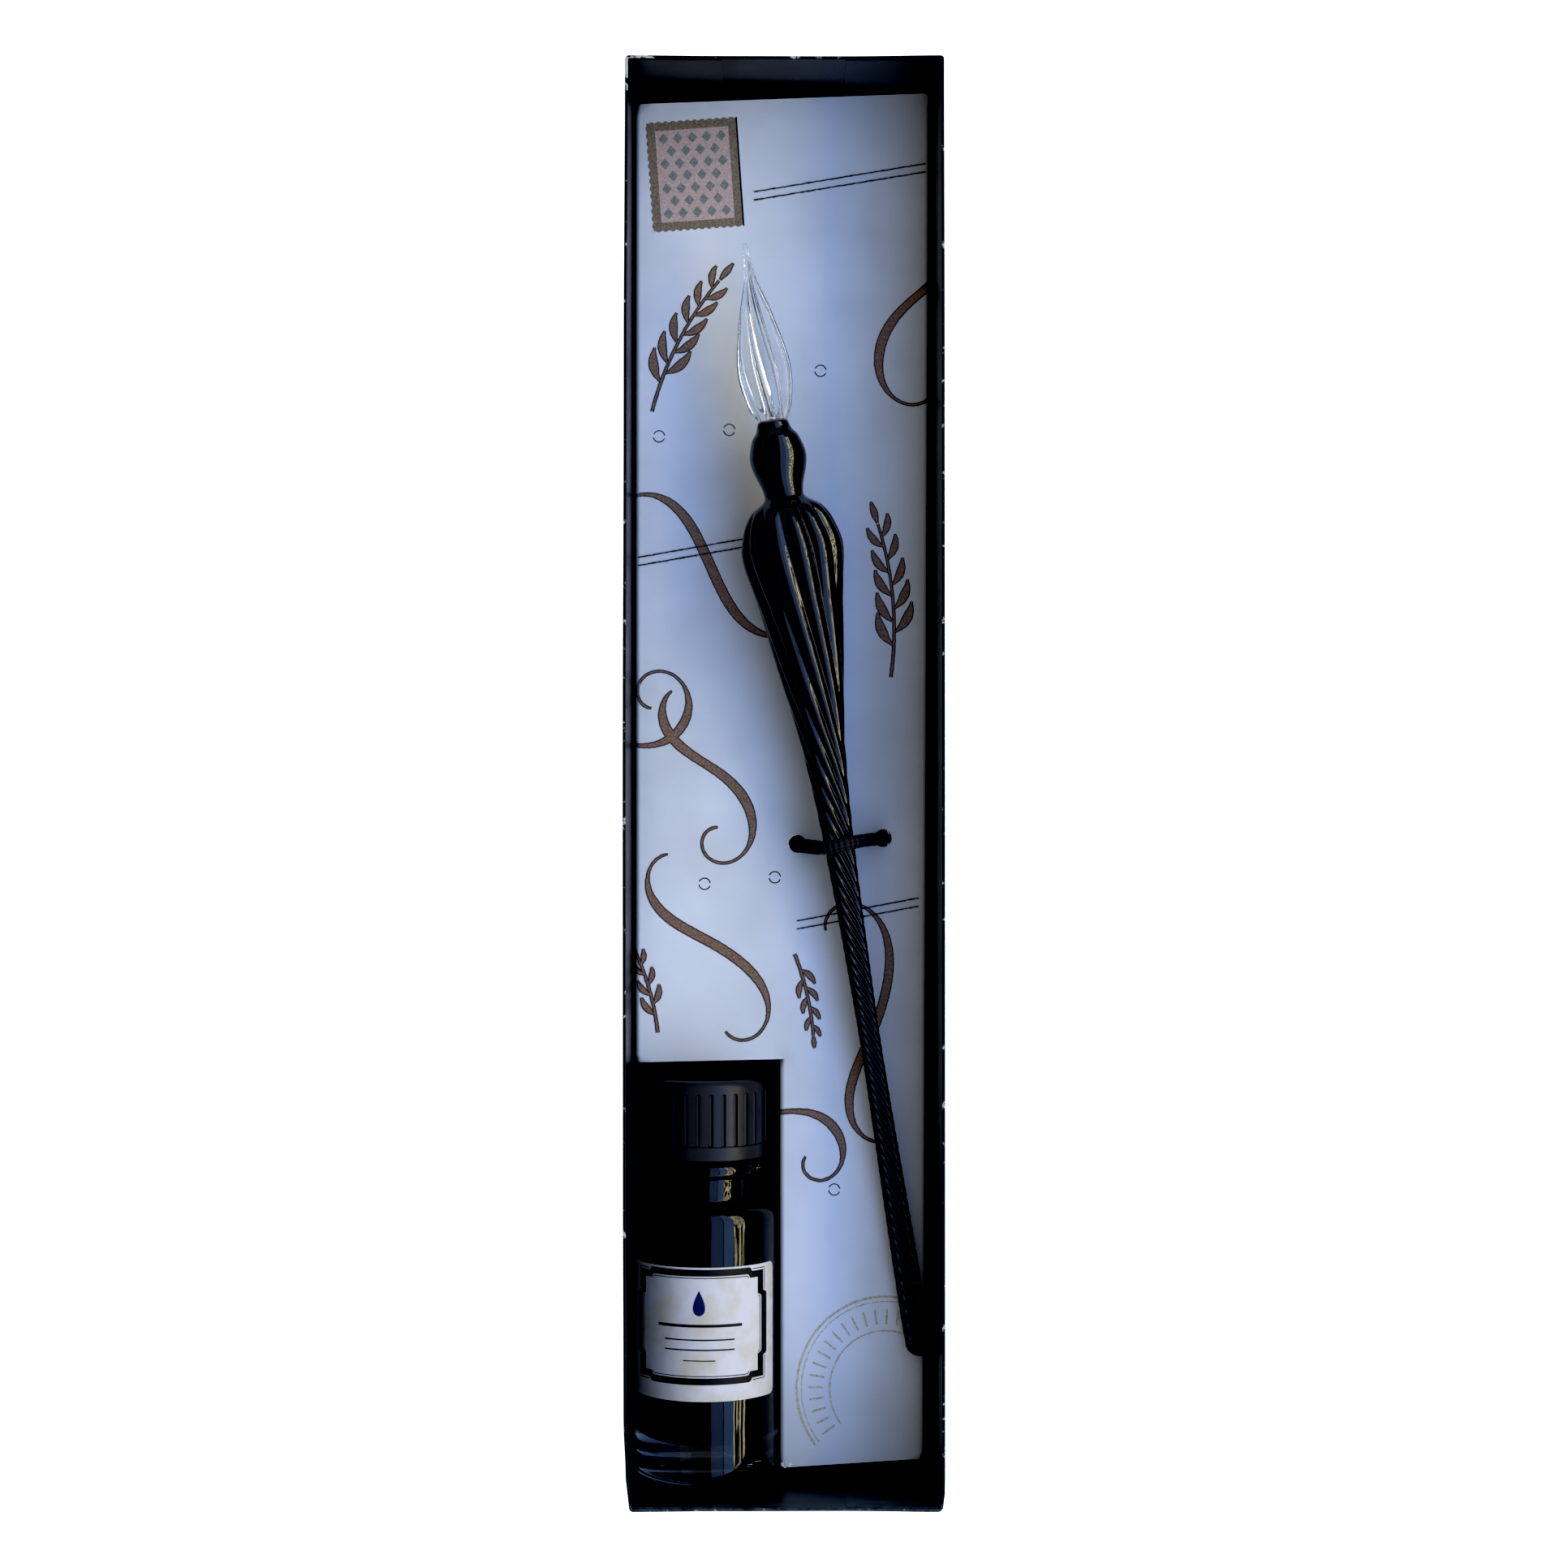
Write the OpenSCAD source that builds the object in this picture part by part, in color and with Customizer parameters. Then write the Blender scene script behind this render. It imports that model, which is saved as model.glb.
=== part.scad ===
// Calligraphy set box: an open carton tray with a folded card platform,
// a twisted glass dip pen held by an elastic loop, and a small bottle of ink.
// The origin is the middle of the tray's underside; +Y runs towards the pen's nib.

/* [Tray] */
// Length of the tray, outside
tray_length = 213; // [190:0.5:240]
// Width of the tray, outside
tray_width = 47.2; // [46.8:0.1:60]
// Height of the walls, outside
tray_height = 30; // [30:0.5:50]
// Thickness of the tray's board
board = 0.45; // [0.3:0.05:0.6]
// Outer radius of the folds between the floor and the walls
tray_fold = 0.8; // [0.7:0.05:1.5]
// Width of the glued tabs in the corners
tab_width = 14; // [8:0.5:20]
// How far a tab's top stops below the rim
tab_drop = 1.2; // [0.5:0.1:4]
// How far a tab narrows towards its free edge, at top and bottom
tab_slant = 2.5; // [0:0.5:5]

/* [Card platform] */
// Height of the platform's upper face above the table
deck_height = 14; // [13:0.25:16]
// Thickness of the white card
card = 0.5; // [0.3:0.05:0.6]
// Outer radius of the card's folds
card_fold = 0.8; // [0.7:0.05:1.5]
// Gap between the platform and the left wall
deck_gap_left = 0.5; // [0.3:0.1:2]
// Gap between the platform and the right wall
deck_gap_right = 1.05; // [0.3:0.05:1.5]
// Gap between the platform's far right corner and the glued tab
deck_end_gap = 0.25; // [0.2:0.05:2]
// How far the nib end of the platform runs out of square
end_slant = 1.6; // [0:0.1:3]
// Gap between the platform and the wall at the bottle end
deck_foot_gap = 2; // [1:0.1:6]
// How far the bottle end of the platform runs out of square
foot_slant = 1.3; // [0:0.1:3]
// How far the edge of the bottle's bay runs out of square
bay_slant = 0.5; // [0:0.1:1]
// Diameter of the round knock-outs
knockout_d = 1.9; // [1.2:0.1:3]
// Width of a knock-out's cut line
knockout_cut = 0.15; // [0.1:0.05:0.3]
// Width of the two nicks that hold a knock-out
knockout_nick = 0.3; // [0.2:0.05:0.5]
// Spacing of the knock-outs that come in pairs
knockout_pair = 10.7; // [8:0.1:14]

/* [Elastic] */
// Diameter of the elastic cord
cord_d = 2; // [1.5:0.1:2.4]
// Distance of the left hole from the pen's axis
hole_left = 6.15; // [5.5:0.05:9]
// Distance of the right hole from the pen's axis
hole_right = 7.2; // [5.5:0.05:9]
// Distance of the elastic from the middle of the tray, towards the bottle
elastic_y = 8.6; // [0:0.1:30]
// Angle of the elastic across the tray
elastic_turn = 3.7; // [0:0.1:9]
// Depth of the elastic's hidden run below the card
elastic_drop = 3.8; // [3.4:0.1:6]
// Radius of the cord's bends below the card
elastic_bend = 1.5; // [1.3:0.1:1.8]

/* [Pen] */
// Length of the pen
pen_length = 169.3; // [160:0.1:172]
// Distance of the nib's tip from the tray's right wall
tip_reach = 29.05; // [27.5:0.05:30]
// Place of the nib's tip along the tray
tip_y = 80.25; // [76:0.25:84]
// Angle of the pen in the tray, seen from above
pen_turn = 9.03; // [7:0.05:9.1]
// Length of the clear nib
nib_length = 26.5; // [20:0.5:30]
// Diameter of the nib's point
point_d = 0.6; // [0.4:0.1:1]
// Greatest diameter of the nib
nib_d = 8.06; // [6:0.1:10]
// Distance of the nib's thickest place from its base
nib_belly = 7.1; // [5:0.1:10]
// Diameter of the nib where it meets the handle
nib_base_d = 4.7; // [3.8:0.1:5]
// Number of grooves that hold the ink
nib_grooves = 10; // [6:1:12]
// Depth of the grooves as a share of the nib's radius
groove_depth = 0.24; // [0.1:0.01:0.35]
// How far the grooves twist over the nib's length
nib_twist = 30; // [0:5:120]
// Diameter of the stem that is melted into the handle
stem_d = 3; // [2:0.1:3.4]
// Length of the stem
stem_length = 5; // [3:0.5:9]
// Diameter of the collar at the front of the handle
collar_d = 4.5; // [4:0.1:5]
// Diameter of the bead behind the collar
bead_d = 8.5; // [7:0.1:10]
// Length from the collar to the bead's thickest place
bead_run = 5.6; // [4:0.1:8]
// Diameter of the waist behind the bead
waist_d = 5.8; // [4:0.1:6.5]
// Length from the bead to the waist
waist_run = 5.7; // [4:0.1:8]
// Diameter of the fluted bulb
bulb_d = 15.5; // [12:0.1:15.7]
// Length from the waist to the bulb's thickest place
bulb_run = 8.1; // [6:0.1:12]
// Diameter of the shaft where the elastic holds it
shaft_d = 4.7; // [4:0.1:6]
// Length from the bulb to that place
taper_run = 43.5; // [35:0.5:50]
// Diameter of the shaft at its thinnest
slim_d = 3.2; // [2.6:0.1:4]
// Length from there to the thinnest place
slim_run = 32; // [25:0.5:40]
// Diameter of the tail
tail_d = 4; // [3.4:0.1:4.4]
// Distance of the tail's thickest place from the pen's end
tail_run = 7; // [5:0.5:12]
// Number of twisted ribs
ribs = 12; // [8:1:16]
// Depth of the ribs as a share of the radius
rib_depth = 0.08; // [0.02:0.01:0.15]
// Twist of the glass, in degrees per millimetre on a rod of 1 mm radius
twist = 54; // [20:1:80]

/* [Bottle] */
// Diameter of the bottle
bottle_d = 22; // [20:0.1:22]
// Height of the glass body up to its shoulder
body_height = 42; // [38:0.5:42.3]
// Thickness of the glass wall
glass_wall = 1.6; // [1:0.1:2]
// Thickness of the glass at the base
base_wall = 5.7; // [3:0.1:7]
// Radius of the base's outer edge
heel_r = 1.8; // [0.5:0.1:3]
// Radius of the shoulder's outer edge
shoulder_r = 2.5; // [1:0.1:3]
// Radius of the round bottom of the ink's space
hollow_r = 5; // [2:0.1:6]
// Diameter of the neck under its ring
neck_d = 14; // [13:0.1:14.6]
// Height of the neck up to its ring
neck_height = 3.7; // [3:0.1:5]
// Diameter of the ring below the cap
ring_d = 17; // [15.8:0.1:18]
// Height of that ring
ring_height = 2.8; // [2:0.1:2.9]
// Diameter of the neck inside its thread
finish_d = 13.8; // [13:0.1:13.8]
// Height of the threaded neck above the ring
finish_height = 9.9; // [9.4:0.1:10.2]
// Diameter of the mouth
mouth_d = 10; // [7:0.1:10.5]
// Radius of the mouth's outer edge
lip_r = 0.8; // [0.3:0.05:1]
// Radius between the shoulder and the neck
neck_fillet = 1.2; // [0.5:0.1:1.5]
// Gap between the bottle and the wall beside it
bottle_wall_gap = 0.25; // [0.2:0.05:1]
// Gap between the bottle and the platform beside it
bottle_gap = 0.3; // [0.2:0.05:1]
// Gap between the bottle's base and the glued tab behind it
base_gap = 0.2; // [0.15:0.05:1]
// Room between the cap and the platform, which lets the cap be loosened
cap_room = 2.3; // [2.2:0.1:6]

/* [Label] */
// Height of the paper label
label_height = 20; // [14:0.5:24]
// Length of the label round the bottle
label_length = 27; // [20:0.5:40]
// Distance of the label's lower edge from the bottle's base
label_base = 13.3; // [8:0.1:16]
// Angle by which the label's middle is rolled to the left
label_roll = 4; // [-20:1:20]
// Thickness of the label
paper = 0.1; // [0.05:0.01:0.15]

/* [Cap] */
// Diameter of the cap
cap_d = 18.6; // [18.2:0.1:20]
// Height of the cap
cap_height = 12; // [11.8:0.1:12.4]
// Thickness of the cap's top
cap_top = 1.2; // [0.8:0.1:1.3]
// Radius of the cap's upper edge
cap_edge = 1.2; // [0.4:0.1:1.6]
// Number of grip grooves
cap_grooves = 30; // [20:1:40]
// Radius of a grip groove
grip_r = 0.35; // [0.3:0.05:0.6]
// Depth of a grip groove
grip_depth = 0.4; // [0.2:0.05:0.45]
// Distance of the grooves' round ends below the cap's top
grip_top = 1.9; // [1.6:0.1:3]
// Height of the smooth skirt below the grooves
skirt = 2.2; // [1:0.1:4]
// Radius of the skirt's lower edge
foot_r = 0.3; // [0.1:0.05:0.5]
// Thickness of the liner in the cap
liner = 1; // [0.5:0.1:1.1]

/* [Clearances] */
// Gap under a piece that rests on another
rest_gap = 0.1; // [0.05:0.05:0.3]
// Gap between the pen and the elastic round it
grip_gap = 0.1; // [0.05:0.05:0.3]
// Gap round the elastic in its holes
hole_gap = 0.1; // [0.05:0.05:0.3]
// Room for the thread between the neck and the cap
thread_room = 1.2; // [0.9:0.05:1.3]
// Gap between the cap's skirt and the ring on the neck
skirt_gap = 0.3; // [0.2:0.05:0.6]
// Gap round the liner in the cap
liner_gap = 0.1; // [0.05:0.05:0.3]
// Gap left by glue or melted glass between two joined pieces
joint_gap = 0.01; // [0.005:0.005:0.02]

/* [Hidden] */
$fn = 64;
overlap = 0.4;
cut = 1;

// The tray's inside, and the faces of its glued tabs
inside_x = tray_width / 2 - board;
inside_y = tray_length / 2 - board;
tab_face = inside_y - board;

// Heights along the bottle, from its base
ring_top = body_height + neck_height + ring_height;
lip = ring_top + finish_height;
cap_foot = ring_top + skirt_gap;
bottle_height = cap_foot + cap_height;
finish_r = finish_d / 2;
cap_bore = finish_r + thread_room;

// The bottle lies along the tray with its cap towards the pen
bottle_x = -inside_x + bottle_wall_gap + bottle_d / 2;
bottle_y = -tab_face + base_gap;
bottle_z = board + rest_gap + bottle_d / 2;

// The platform's corners in plan
deck_left = -inside_x + deck_gap_left;
deck_right = inside_x - deck_gap_right;
deck_far = tab_face - deck_end_gap;
deck_near = -inside_y + deck_foot_gap;
bay_x = bottle_x + bottle_d / 2 + bottle_gap;
bay_y = bottle_y + bottle_height + cap_room;
deck_drop = deck_height - board - rest_gap;
bay_corner = bay_y + bay_slant;

// Places of the knock-outs: two pairs and two single ones
knockouts = [
    [5.6, 63.1], [7.9, -61.7],
    [-19.05, 53.1], [-19.05 + knockout_pair, 54.1],
    [-12.1, -15.1], [-12.1 + knockout_pair, -14.1]
];

// Stations of the pen's outline, as distances from the nib's tip
belly_at = nib_length - nib_belly;
collar_at = nib_length;
bead_at = collar_at + bead_run;
waist_at = bead_at + waist_run;
bulb_at = waist_at + bulb_run;
shaft_at = bulb_at + taper_run;
slim_at = shaft_at + slim_run;
tail_at = pen_length - tail_run;

function between(a, b, share) = a + (b - a) * share;

// Outlines of the two glass pieces: distance from the tip, then radius
nib_outline = [
    [0, point_d / 2],
    [belly_at * 0.25, between(point_d, nib_d, 0.15) / 2],
    [belly_at * 0.57, between(point_d, nib_d, 0.61) / 2],
    [belly_at, nib_d / 2],
    [nib_length, nib_base_d / 2]
];
handle_outline = [
    [collar_at, collar_d / 2],
    [between(collar_at, bead_at, 0.23), between(collar_d, bead_d, 0.18) / 2],
    [between(collar_at, bead_at, 0.48), between(collar_d, bead_d, 0.66) / 2],
    [bead_at, bead_d / 2],
    [waist_at, waist_d / 2],
    [between(waist_at, bulb_at, 0.26), between(waist_d, bulb_d, 0.53) / 2],
    [between(waist_at, bulb_at, 0.51), between(waist_d, bulb_d, 0.79) / 2],
    [bulb_at, bulb_d / 2],
    [between(bulb_at, shaft_at, 0.21), between(shaft_d, bulb_d, 0.73) / 2],
    [between(bulb_at, shaft_at, 0.43), between(shaft_d, bulb_d, 0.47) / 2],
    [between(bulb_at, shaft_at, 0.69), between(shaft_d, bulb_d, 0.17) / 2],
    [shaft_at, shaft_d / 2],
    [between(shaft_at, slim_at, 0.55), between(slim_d, shaft_d, 0.3) / 2],
    [slim_at, slim_d / 2],
    [tail_at, tail_d / 2],
    [between(tail_at, pen_length, 0.75), between(slim_d, tail_d, 0.7) / 2],
    [pen_length, slim_d / 4]
];

// Smooth curve through an outline, which never overshoots its stations
function rise(o, i) = (o[i + 1][1] - o[i][1]) / (o[i + 1][0] - o[i][0]);
function tangent(o, i) =
    i == 0 ? rise(o, 0) :
    i == len(o) - 1 ? rise(o, i - 1) :
    rise(o, i - 1) * rise(o, i) <= 0 ? 0 :
    2 * rise(o, i - 1) * rise(o, i) / (rise(o, i - 1) + rise(o, i));
function curve(a, b, m, n, run, t) =
    a * (1 + 2 * t) * pow(1 - t, 2) + b * t * t * (3 - 2 * t)
    + run * (m * t * pow(1 - t, 2) - n * t * t * (1 - t));
function span_of(o, s, i = 0) = i >= len(o) - 2 || s <= o[i + 1][0] ? i : span_of(o, s, i + 1);
function curve_in(o, s, i) =
    curve(o[i][1], o[i + 1][1], tangent(o, i), tangent(o, i + 1), o[i + 1][0] - o[i][0],
          (s - o[i][0]) / (o[i + 1][0] - o[i][0]));
function radius_at(o, s) = curve_in(o, s, span_of(o, s));

// The pen lies on its bulb and its tail, so its axis slopes down to the tail
pen_slope = asin((bulb_d - tail_d) / 2 / (tail_at - bulb_at));
bulb_z = deck_height + rest_gap + bulb_d / 2 * cos(pen_slope);
tip_z = bulb_z + bulb_at * sin(pen_slope);
tip_x = inside_x - tip_reach;

// Where the elastic crosses the pen, and how it goes over it
elastic_at = (tip_y + elastic_y) / cos(pen_turn) / cos(pen_slope);
cross_x = tip_x + elastic_at * sin(pen_turn) * cos(pen_slope);
cross_h = tip_z - elastic_at * sin(pen_slope) - deck_height + card / 2;
wrap_r = radius_at(handle_outline, elastic_at) + grip_gap + cord_d / 2;

// Angle above the card of the elastic's leg from a hole, and the hole that it needs
function leg_angle(reach) = atan2(cross_h, reach) + asin(wrap_r / norm([reach, cross_h]));
function hole_r(angle) = cord_d / 2 / sin(angle) + card / 2 / tan(angle) + hole_gap;
angle_left = leg_angle(hole_left);
angle_right = leg_angle(hole_right);

// Half of the cord below the card, from the middle out, and up to the leg's foot
function bend_points(reach, angle) =
    let (down = (elastic_drop - elastic_bend * (1 + cos(angle))) / sin(angle),
         x = reach + down * cos(angle) - elastic_bend * sin(angle))
    concat([[0.3, -elastic_drop], [x / 2, -elastic_drop]],
           [for (a = [-90:20:90 - angle]) [x, elastic_bend - elastic_drop] + elastic_bend * [cos(a), sin(a)]],
           [[reach, 0]]);
left_bend = bend_points(hole_left, angle_left);
right_bend = bend_points(hole_right, angle_right);
wrap_step = 12;

// The cord's middle line in the frame's XZ plane: bends below the card, legs and wrap
cord_route = concat(
    [for (p = left_bend) [-p[0], p[1]]],
    [for (a = [90 + angle_left:-wrap_step:90 - angle_right])
        [wrap_r * cos(a), cross_h + wrap_r * sin(a)]],
    [[wrap_r * sin(angle_right), cross_h + wrap_r * cos(angle_right)]],
    [for (k = [len(right_bend) - 1:-1:0]) right_bend[k]]
);

// The elastic's knot: how far its turns lie apart and out, and how its tails stand
knot_d = cord_d * 0.95;
knot_pitch = cord_d * 0.75;
knot_turn_r = cord_d * 0.55;
tail_length = cord_d * 2.6;
tail_lean = 75;
tail_swing = 20;

// The glass twists faster where it was pulled thinner, like a left-handed rope
function twist_at(s) = twist / pow(radius_at(handle_outline, s), 2);
function ring_step(s) = min(s < bulb_at ? 0.95 : 2.4, 27 / twist_at(s));
handle_s = [for (s = collar_at; s < pen_length - 0.5; s = s + ring_step(s)) s, pen_length];
handle_turn = [for (i = 0, a = 0; i < len(handle_s); a = a - turn_after(i), i = i + 1) a];
function turn_after(i) =
    i == len(handle_s) - 1 ? 0 : twist_at(handle_s[i]) * (handle_s[i + 1] - handle_s[i]);

// The ribs start at the waist and fade out at the tail's end
function rib_share(s) =
    min(1, max(0, (s - waist_at) / (bulb_at - waist_at)), (pen_length + 0.5 - s) / 3);

nib_rings = 24;
nib_s = [for (i = [0:nib_rings]) nib_length * pow(i / nib_rings, 0.9)];

// A loft of rings, each [height, radius, turn, depth of lobes], with four points to a lobe
module lobed_loft(rings, lobes) {
    sides = 4 * lobes;
    points = [for (g = rings) for (c = [0:sides - 1])
        let (a = g[2] + 360 * c / sides, r = g[1] * (1 - g[3] * (1 - cos(90 * c)) / 2))
        [r * cos(a), r * sin(a), g[0]]];
    walls = [for (k = [0:len(rings) - 2]) for (c = [0:sides - 1])
        let (p = k * sides + c, q = k * sides + (c + 1) % sides)
        each [[p, p + sides, q + sides], [p, q + sides, q]]];
    first = [for (c = [0:sides - 1]) c];
    last = [for (c = [0:sides - 1]) len(rings) * sides - 1 - c];
    polyhedron(points, concat(walls, [first, last]));
}

// Half of a section with round corners, from the axis out to radius r
module half_section(r, height, low, high) {
    translate([0, low]) square([r, height - low - high]);
    square([r - low, low]);
    translate([0, height - high]) square([r - high, high]);
    translate([r - low, low]) mirror([0, 1]) quarter_disc(low);
    translate([r - high, height - high]) quarter_disc(high);
}

module quarter_disc(r) {
    intersection() {
        circle(r);
        square(r);
    }
}

// A trough's section, open at the top, with round lower corners
module trough_section(width, height, fold) {
    translate([-width / 2, fold]) square([width, height - fold]);
    translate([-width / 2 + fold, 0]) square([width - 2 * fold, fold]);
    for (side = [0, 1])
        mirror([side, 0]) translate([width / 2 - fold, fold]) mirror([0, 1]) quarter_disc(fold);
}

module trough(length, width, height, fold) {
    intersection() {
        rotate([90, 0, 0]) linear_extrude(length, center = true) trough_section(width, height, fold);
        rotate([90, 0, 90]) linear_extrude(width, center = true) trough_section(length, height, fold);
    }
}

// One folded and glued blank of black board
module carton_tray() {
    color("#15161a") {
        difference() {
            trough(tray_length, tray_width, tray_height, tray_fold);
            translate([0, 0, board])
                trough(2 * inside_y, 2 * inside_x, tray_height, tray_fold - board);
        }
        for (x = [0, 1], y = [0, 1])
            mirror([x, 0, 0]) mirror([0, y, 0]) glue_tab();
    }
}

module glue_tab() {
    tab_top = tray_height - tab_drop;
    translate([inside_x, inside_y + board / 2, 0]) rotate([90, 0, 0])
        linear_extrude(board * 1.5)
            polygon([[board / 2, tray_fold], [-tab_width, tray_fold + tab_slant],
                     [-tab_width, tab_top - tab_slant], [board / 2, tab_top]]);
}

// Outline of the white platform in plan
module deck_plan() {
    polygon([[deck_left, deck_far - end_slant], [deck_right, deck_far],
             [deck_right, deck_near + foot_slant], [bay_x, deck_near],
             [bay_x, bay_corner], [deck_left, bay_y]]);
}

// The flat card between the round folds, before its ends are trimmed
module flat_plan() {
    left = deck_left + card_fold;
    right = deck_right - card_fold;
    bay = bay_x + card_fold;
    polygon([[left, deck_far + cut], [right, deck_far + cut], [right, deck_near - cut],
             [bay, deck_near - cut], [bay, bay_corner], [bay_x, bay_corner],
             [bay_x, bay_y - cut], [left, bay_y - cut]]);
}

// Section of a fold: the flap hangs at the left, the deck goes on to the right
module fold_section() {
    translate([0, -deck_drop]) square([card, deck_drop - card_fold]);
    translate([card_fold, -card]) square([card_fold, card]);
    translate([card_fold, -card_fold]) mirror([1, 0]) difference() {
        quarter_disc(card_fold);
        circle(card_fold - card);
    }
}

// A fold and its flap, from the place of the frame towards the bottle's end
module folded_flap() {
    translate([0, 0, deck_height]) rotate([90, 0, 0]) linear_extrude(tray_length) fold_section();
}

// The printed card: a flat top with three flaps that stand on the tray's floor
module card_platform() {
    color("#eceef0") difference() {
        intersection() {
            linear_extrude(tray_height) deck_plan();
            union() {
                translate([0, 0, deck_height - card]) linear_extrude(card) flat_plan();
                translate([deck_left, deck_far, 0]) folded_flap();
                translate([bay_x, bay_corner, 0]) folded_flap();
                translate([deck_right, deck_far + cut, 0]) mirror([1, 0, 0]) folded_flap();
            }
        }
        elastic_frame() {
            translate([-hole_left, 0, -card]) cylinder(h = 2 * card, r = hole_r(angle_left));
            translate([hole_right, 0, -card]) cylinder(h = 2 * card, r = hole_r(angle_right));
        }
        for (p = knockouts)
            translate([p[0], p[1], deck_height - card]) knockout();
    }
}

// A ring cut through the card, held by two nicks
module knockout() {
    difference() {
        translate([0, 0, -cut]) cylinder(h = card + 2 * cut, d = knockout_d);
        translate([0, 0, -2 * cut]) cylinder(h = card + 4 * cut, d = knockout_d - 2 * knockout_cut);
        cube([knockout_nick, 2 * knockout_d, 4 * cut], center = true);
    }
}

// Frame of the elastic: X across the tray, Z up, from the card's middle below the pen
module elastic_frame() {
    translate([cross_x, -elastic_y, deck_height - card / 2]) rotate([0, 0, elastic_turn]) children();
}

// One cord: up through a hole, over the pen, down through the other, knotted below
module elastic_loop() {
    sides = 12;
    count = len(cord_route);
    points = [for (k = [0:count - 1]) for (c = [0:sides - 1])
        let (p = cord_route[k],
             d = cord_route[(k + 1) % count] - cord_route[(k + count - 1) % count],
             n = [-d[1], d[0]] / norm(d) * cord_d / 2,
             a = 360 * c / sides)
        [p[0] + n[0] * cos(a), cord_d / 2 * sin(a), p[1] + n[1] * cos(a)]];
    faces = [for (k = [0:count - 1]) for (c = [0:sides - 1])
        let (p = k * sides + c, q = k * sides + (c + 1) % sides,
             r = (k + 1) % count * sides + c, s = (k + 1) % count * sides + (c + 1) % sides)
        each [[p, q, s], [p, s, r]]];
    color("#101114") elastic_frame() {
        polyhedron(points, faces);
        translate([0, 0, -elastic_drop]) knot();
    }
}

// The knot that ties the two ends, with its short tails
module knot() {
    rotate([0, 90, 0]) rotate_extrude() {
        for (k = [-1:1])
            translate([0, k * knot_pitch]) knot_turn();
    }
    for (side = [-1, 1])
        translate([side * cord_d / 2, 0, 0]) rotate([side * tail_lean, 0, side * tail_swing])
            cylinder(h = tail_length, d = knot_d);
}

module knot_turn() {
    translate([knot_turn_r, 0]) circle(d = knot_d);
    translate([0, -0.45 * cord_d]) square([knot_turn_r, 0.9 * cord_d]);
}

// Frame of the pen: Z runs from the nib's tip along the axis
module pen_frame() {
    translate([tip_x, tip_y, tip_z]) rotate([0, 90 + pen_slope, pen_turn - 90]) children();
}

// Clear grooved nib, drawn to a point, with the stem that the handle is melted round
module pen_nib() {
    rings = [for (s = nib_s)
        [s, radius_at(nib_outline, s), -nib_twist * s / nib_length,
         groove_depth * min(1, 0.2 + s / 4, (nib_length + 1 - s) / 4)]];
    stem = [for (s = [nib_length, nib_length + stem_length]) [s, stem_d / 2, -nib_twist, 0]];
    color("#dfe9ef") pen_frame() lobed_loft(concat(rings, stem), nib_grooves);
}

// Dark glass handle: collar, bead, waist, fluted bulb and twisted rod in one piece
module pen_handle() {
    rings = [for (i = [0:len(handle_s) - 1])
        [handle_s[i], radius_at(handle_outline, handle_s[i]), handle_turn[i],
         rib_depth * rib_share(handle_s[i])]];
    socket = [for (s = [stem_length, 0]) [collar_at + s, stem_d / 2 + joint_gap, 0, 0]];
    color("#0d0e12") pen_frame()
        translate([0, 0, joint_gap]) lobed_loft(concat(socket, rings), ribs);
}

// Frame of the bottle: Z runs from the middle of its base to the cap
module bottle_frame() {
    translate([bottle_x, bottle_y, bottle_z]) rotate([-90, 0, 0]) children();
}

// Half section of the bottle's inside
module ink_section() {
    hollow_height = body_height - base_wall - glass_wall;
    translate([0, base_wall])
        half_section(bottle_d / 2 - glass_wall, hollow_height, hollow_r, shoulder_r);
    translate([0, base_wall + hollow_r]) square([mouth_d / 2, lip - base_wall - hollow_r]);
}

// Half section of the bottle's outside: body, neck, ring and finish
module glass_section() {
    ring_r = ring_height / 2;
    half_section(bottle_d / 2, body_height, heel_r, shoulder_r);
    translate([0, body_height - overlap]) square([neck_d / 2, neck_height + 2 * overlap]);
    translate([neck_d / 2, body_height]) difference() {
        square(neck_fillet);
        translate([neck_fillet, neck_fillet]) circle(neck_fillet);
    }
    translate([0, ring_top - ring_height]) square([ring_d / 2 - ring_r, ring_height]);
    translate([ring_d / 2 - ring_r, ring_top - ring_r]) circle(ring_r);
    translate([0, ring_top - overlap]) half_section(finish_r, finish_height + overlap, overlap / 2, lip_r);
}

module bottle_glass() {
    color("#c9d6dc") bottle_frame() difference() {
        rotate_extrude() glass_section();
        rotate_extrude() ink_section();
        translate([0, 0, lip - cut]) cylinder(h = 2 * cut, d = mouth_d);
    }
}

// Ink fills the bottle up to the lip
module ink() {
    color("#07080c") bottle_frame() rotate_extrude() ink_section();
}

// Paper wrapped round the front of the glass
module bottle_label() {
    label_r = bottle_d / 2 + joint_gap;
    label_angle = label_length / label_r * 180 / PI;
    color("#e6e7e4") bottle_frame()
        rotate([0, 0, 270 - label_roll - label_angle / 2]) translate([0, 0, label_base])
            rotate_extrude(angle = label_angle) translate([label_r, 0]) square([paper, label_height]);
}

// Moulded screw cap with grip grooves and a smooth skirt
module bottle_cap() {
    cap_r = cap_d / 2;
    groove = cap_height - skirt - grip_top - grip_r;
    color("#17181c") bottle_frame() difference() {
        translate([0, 0, cap_foot]) rotate_extrude() difference() {
            half_section(cap_r, cap_height, foot_r, cap_edge);
            translate([0, -cut]) square([cap_bore, cap_height - cap_top + cut]);
        }
        for (k = [0:cap_grooves - 1]) rotate([0, 0, 360 * k / cap_grooves])
            translate([cap_r + grip_r - grip_depth, 0, cap_foot + skirt]) {
                cylinder(h = groove, r = grip_r);
                translate([0, 0, groove]) sphere(r = grip_r);
            }
    }
}

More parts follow.
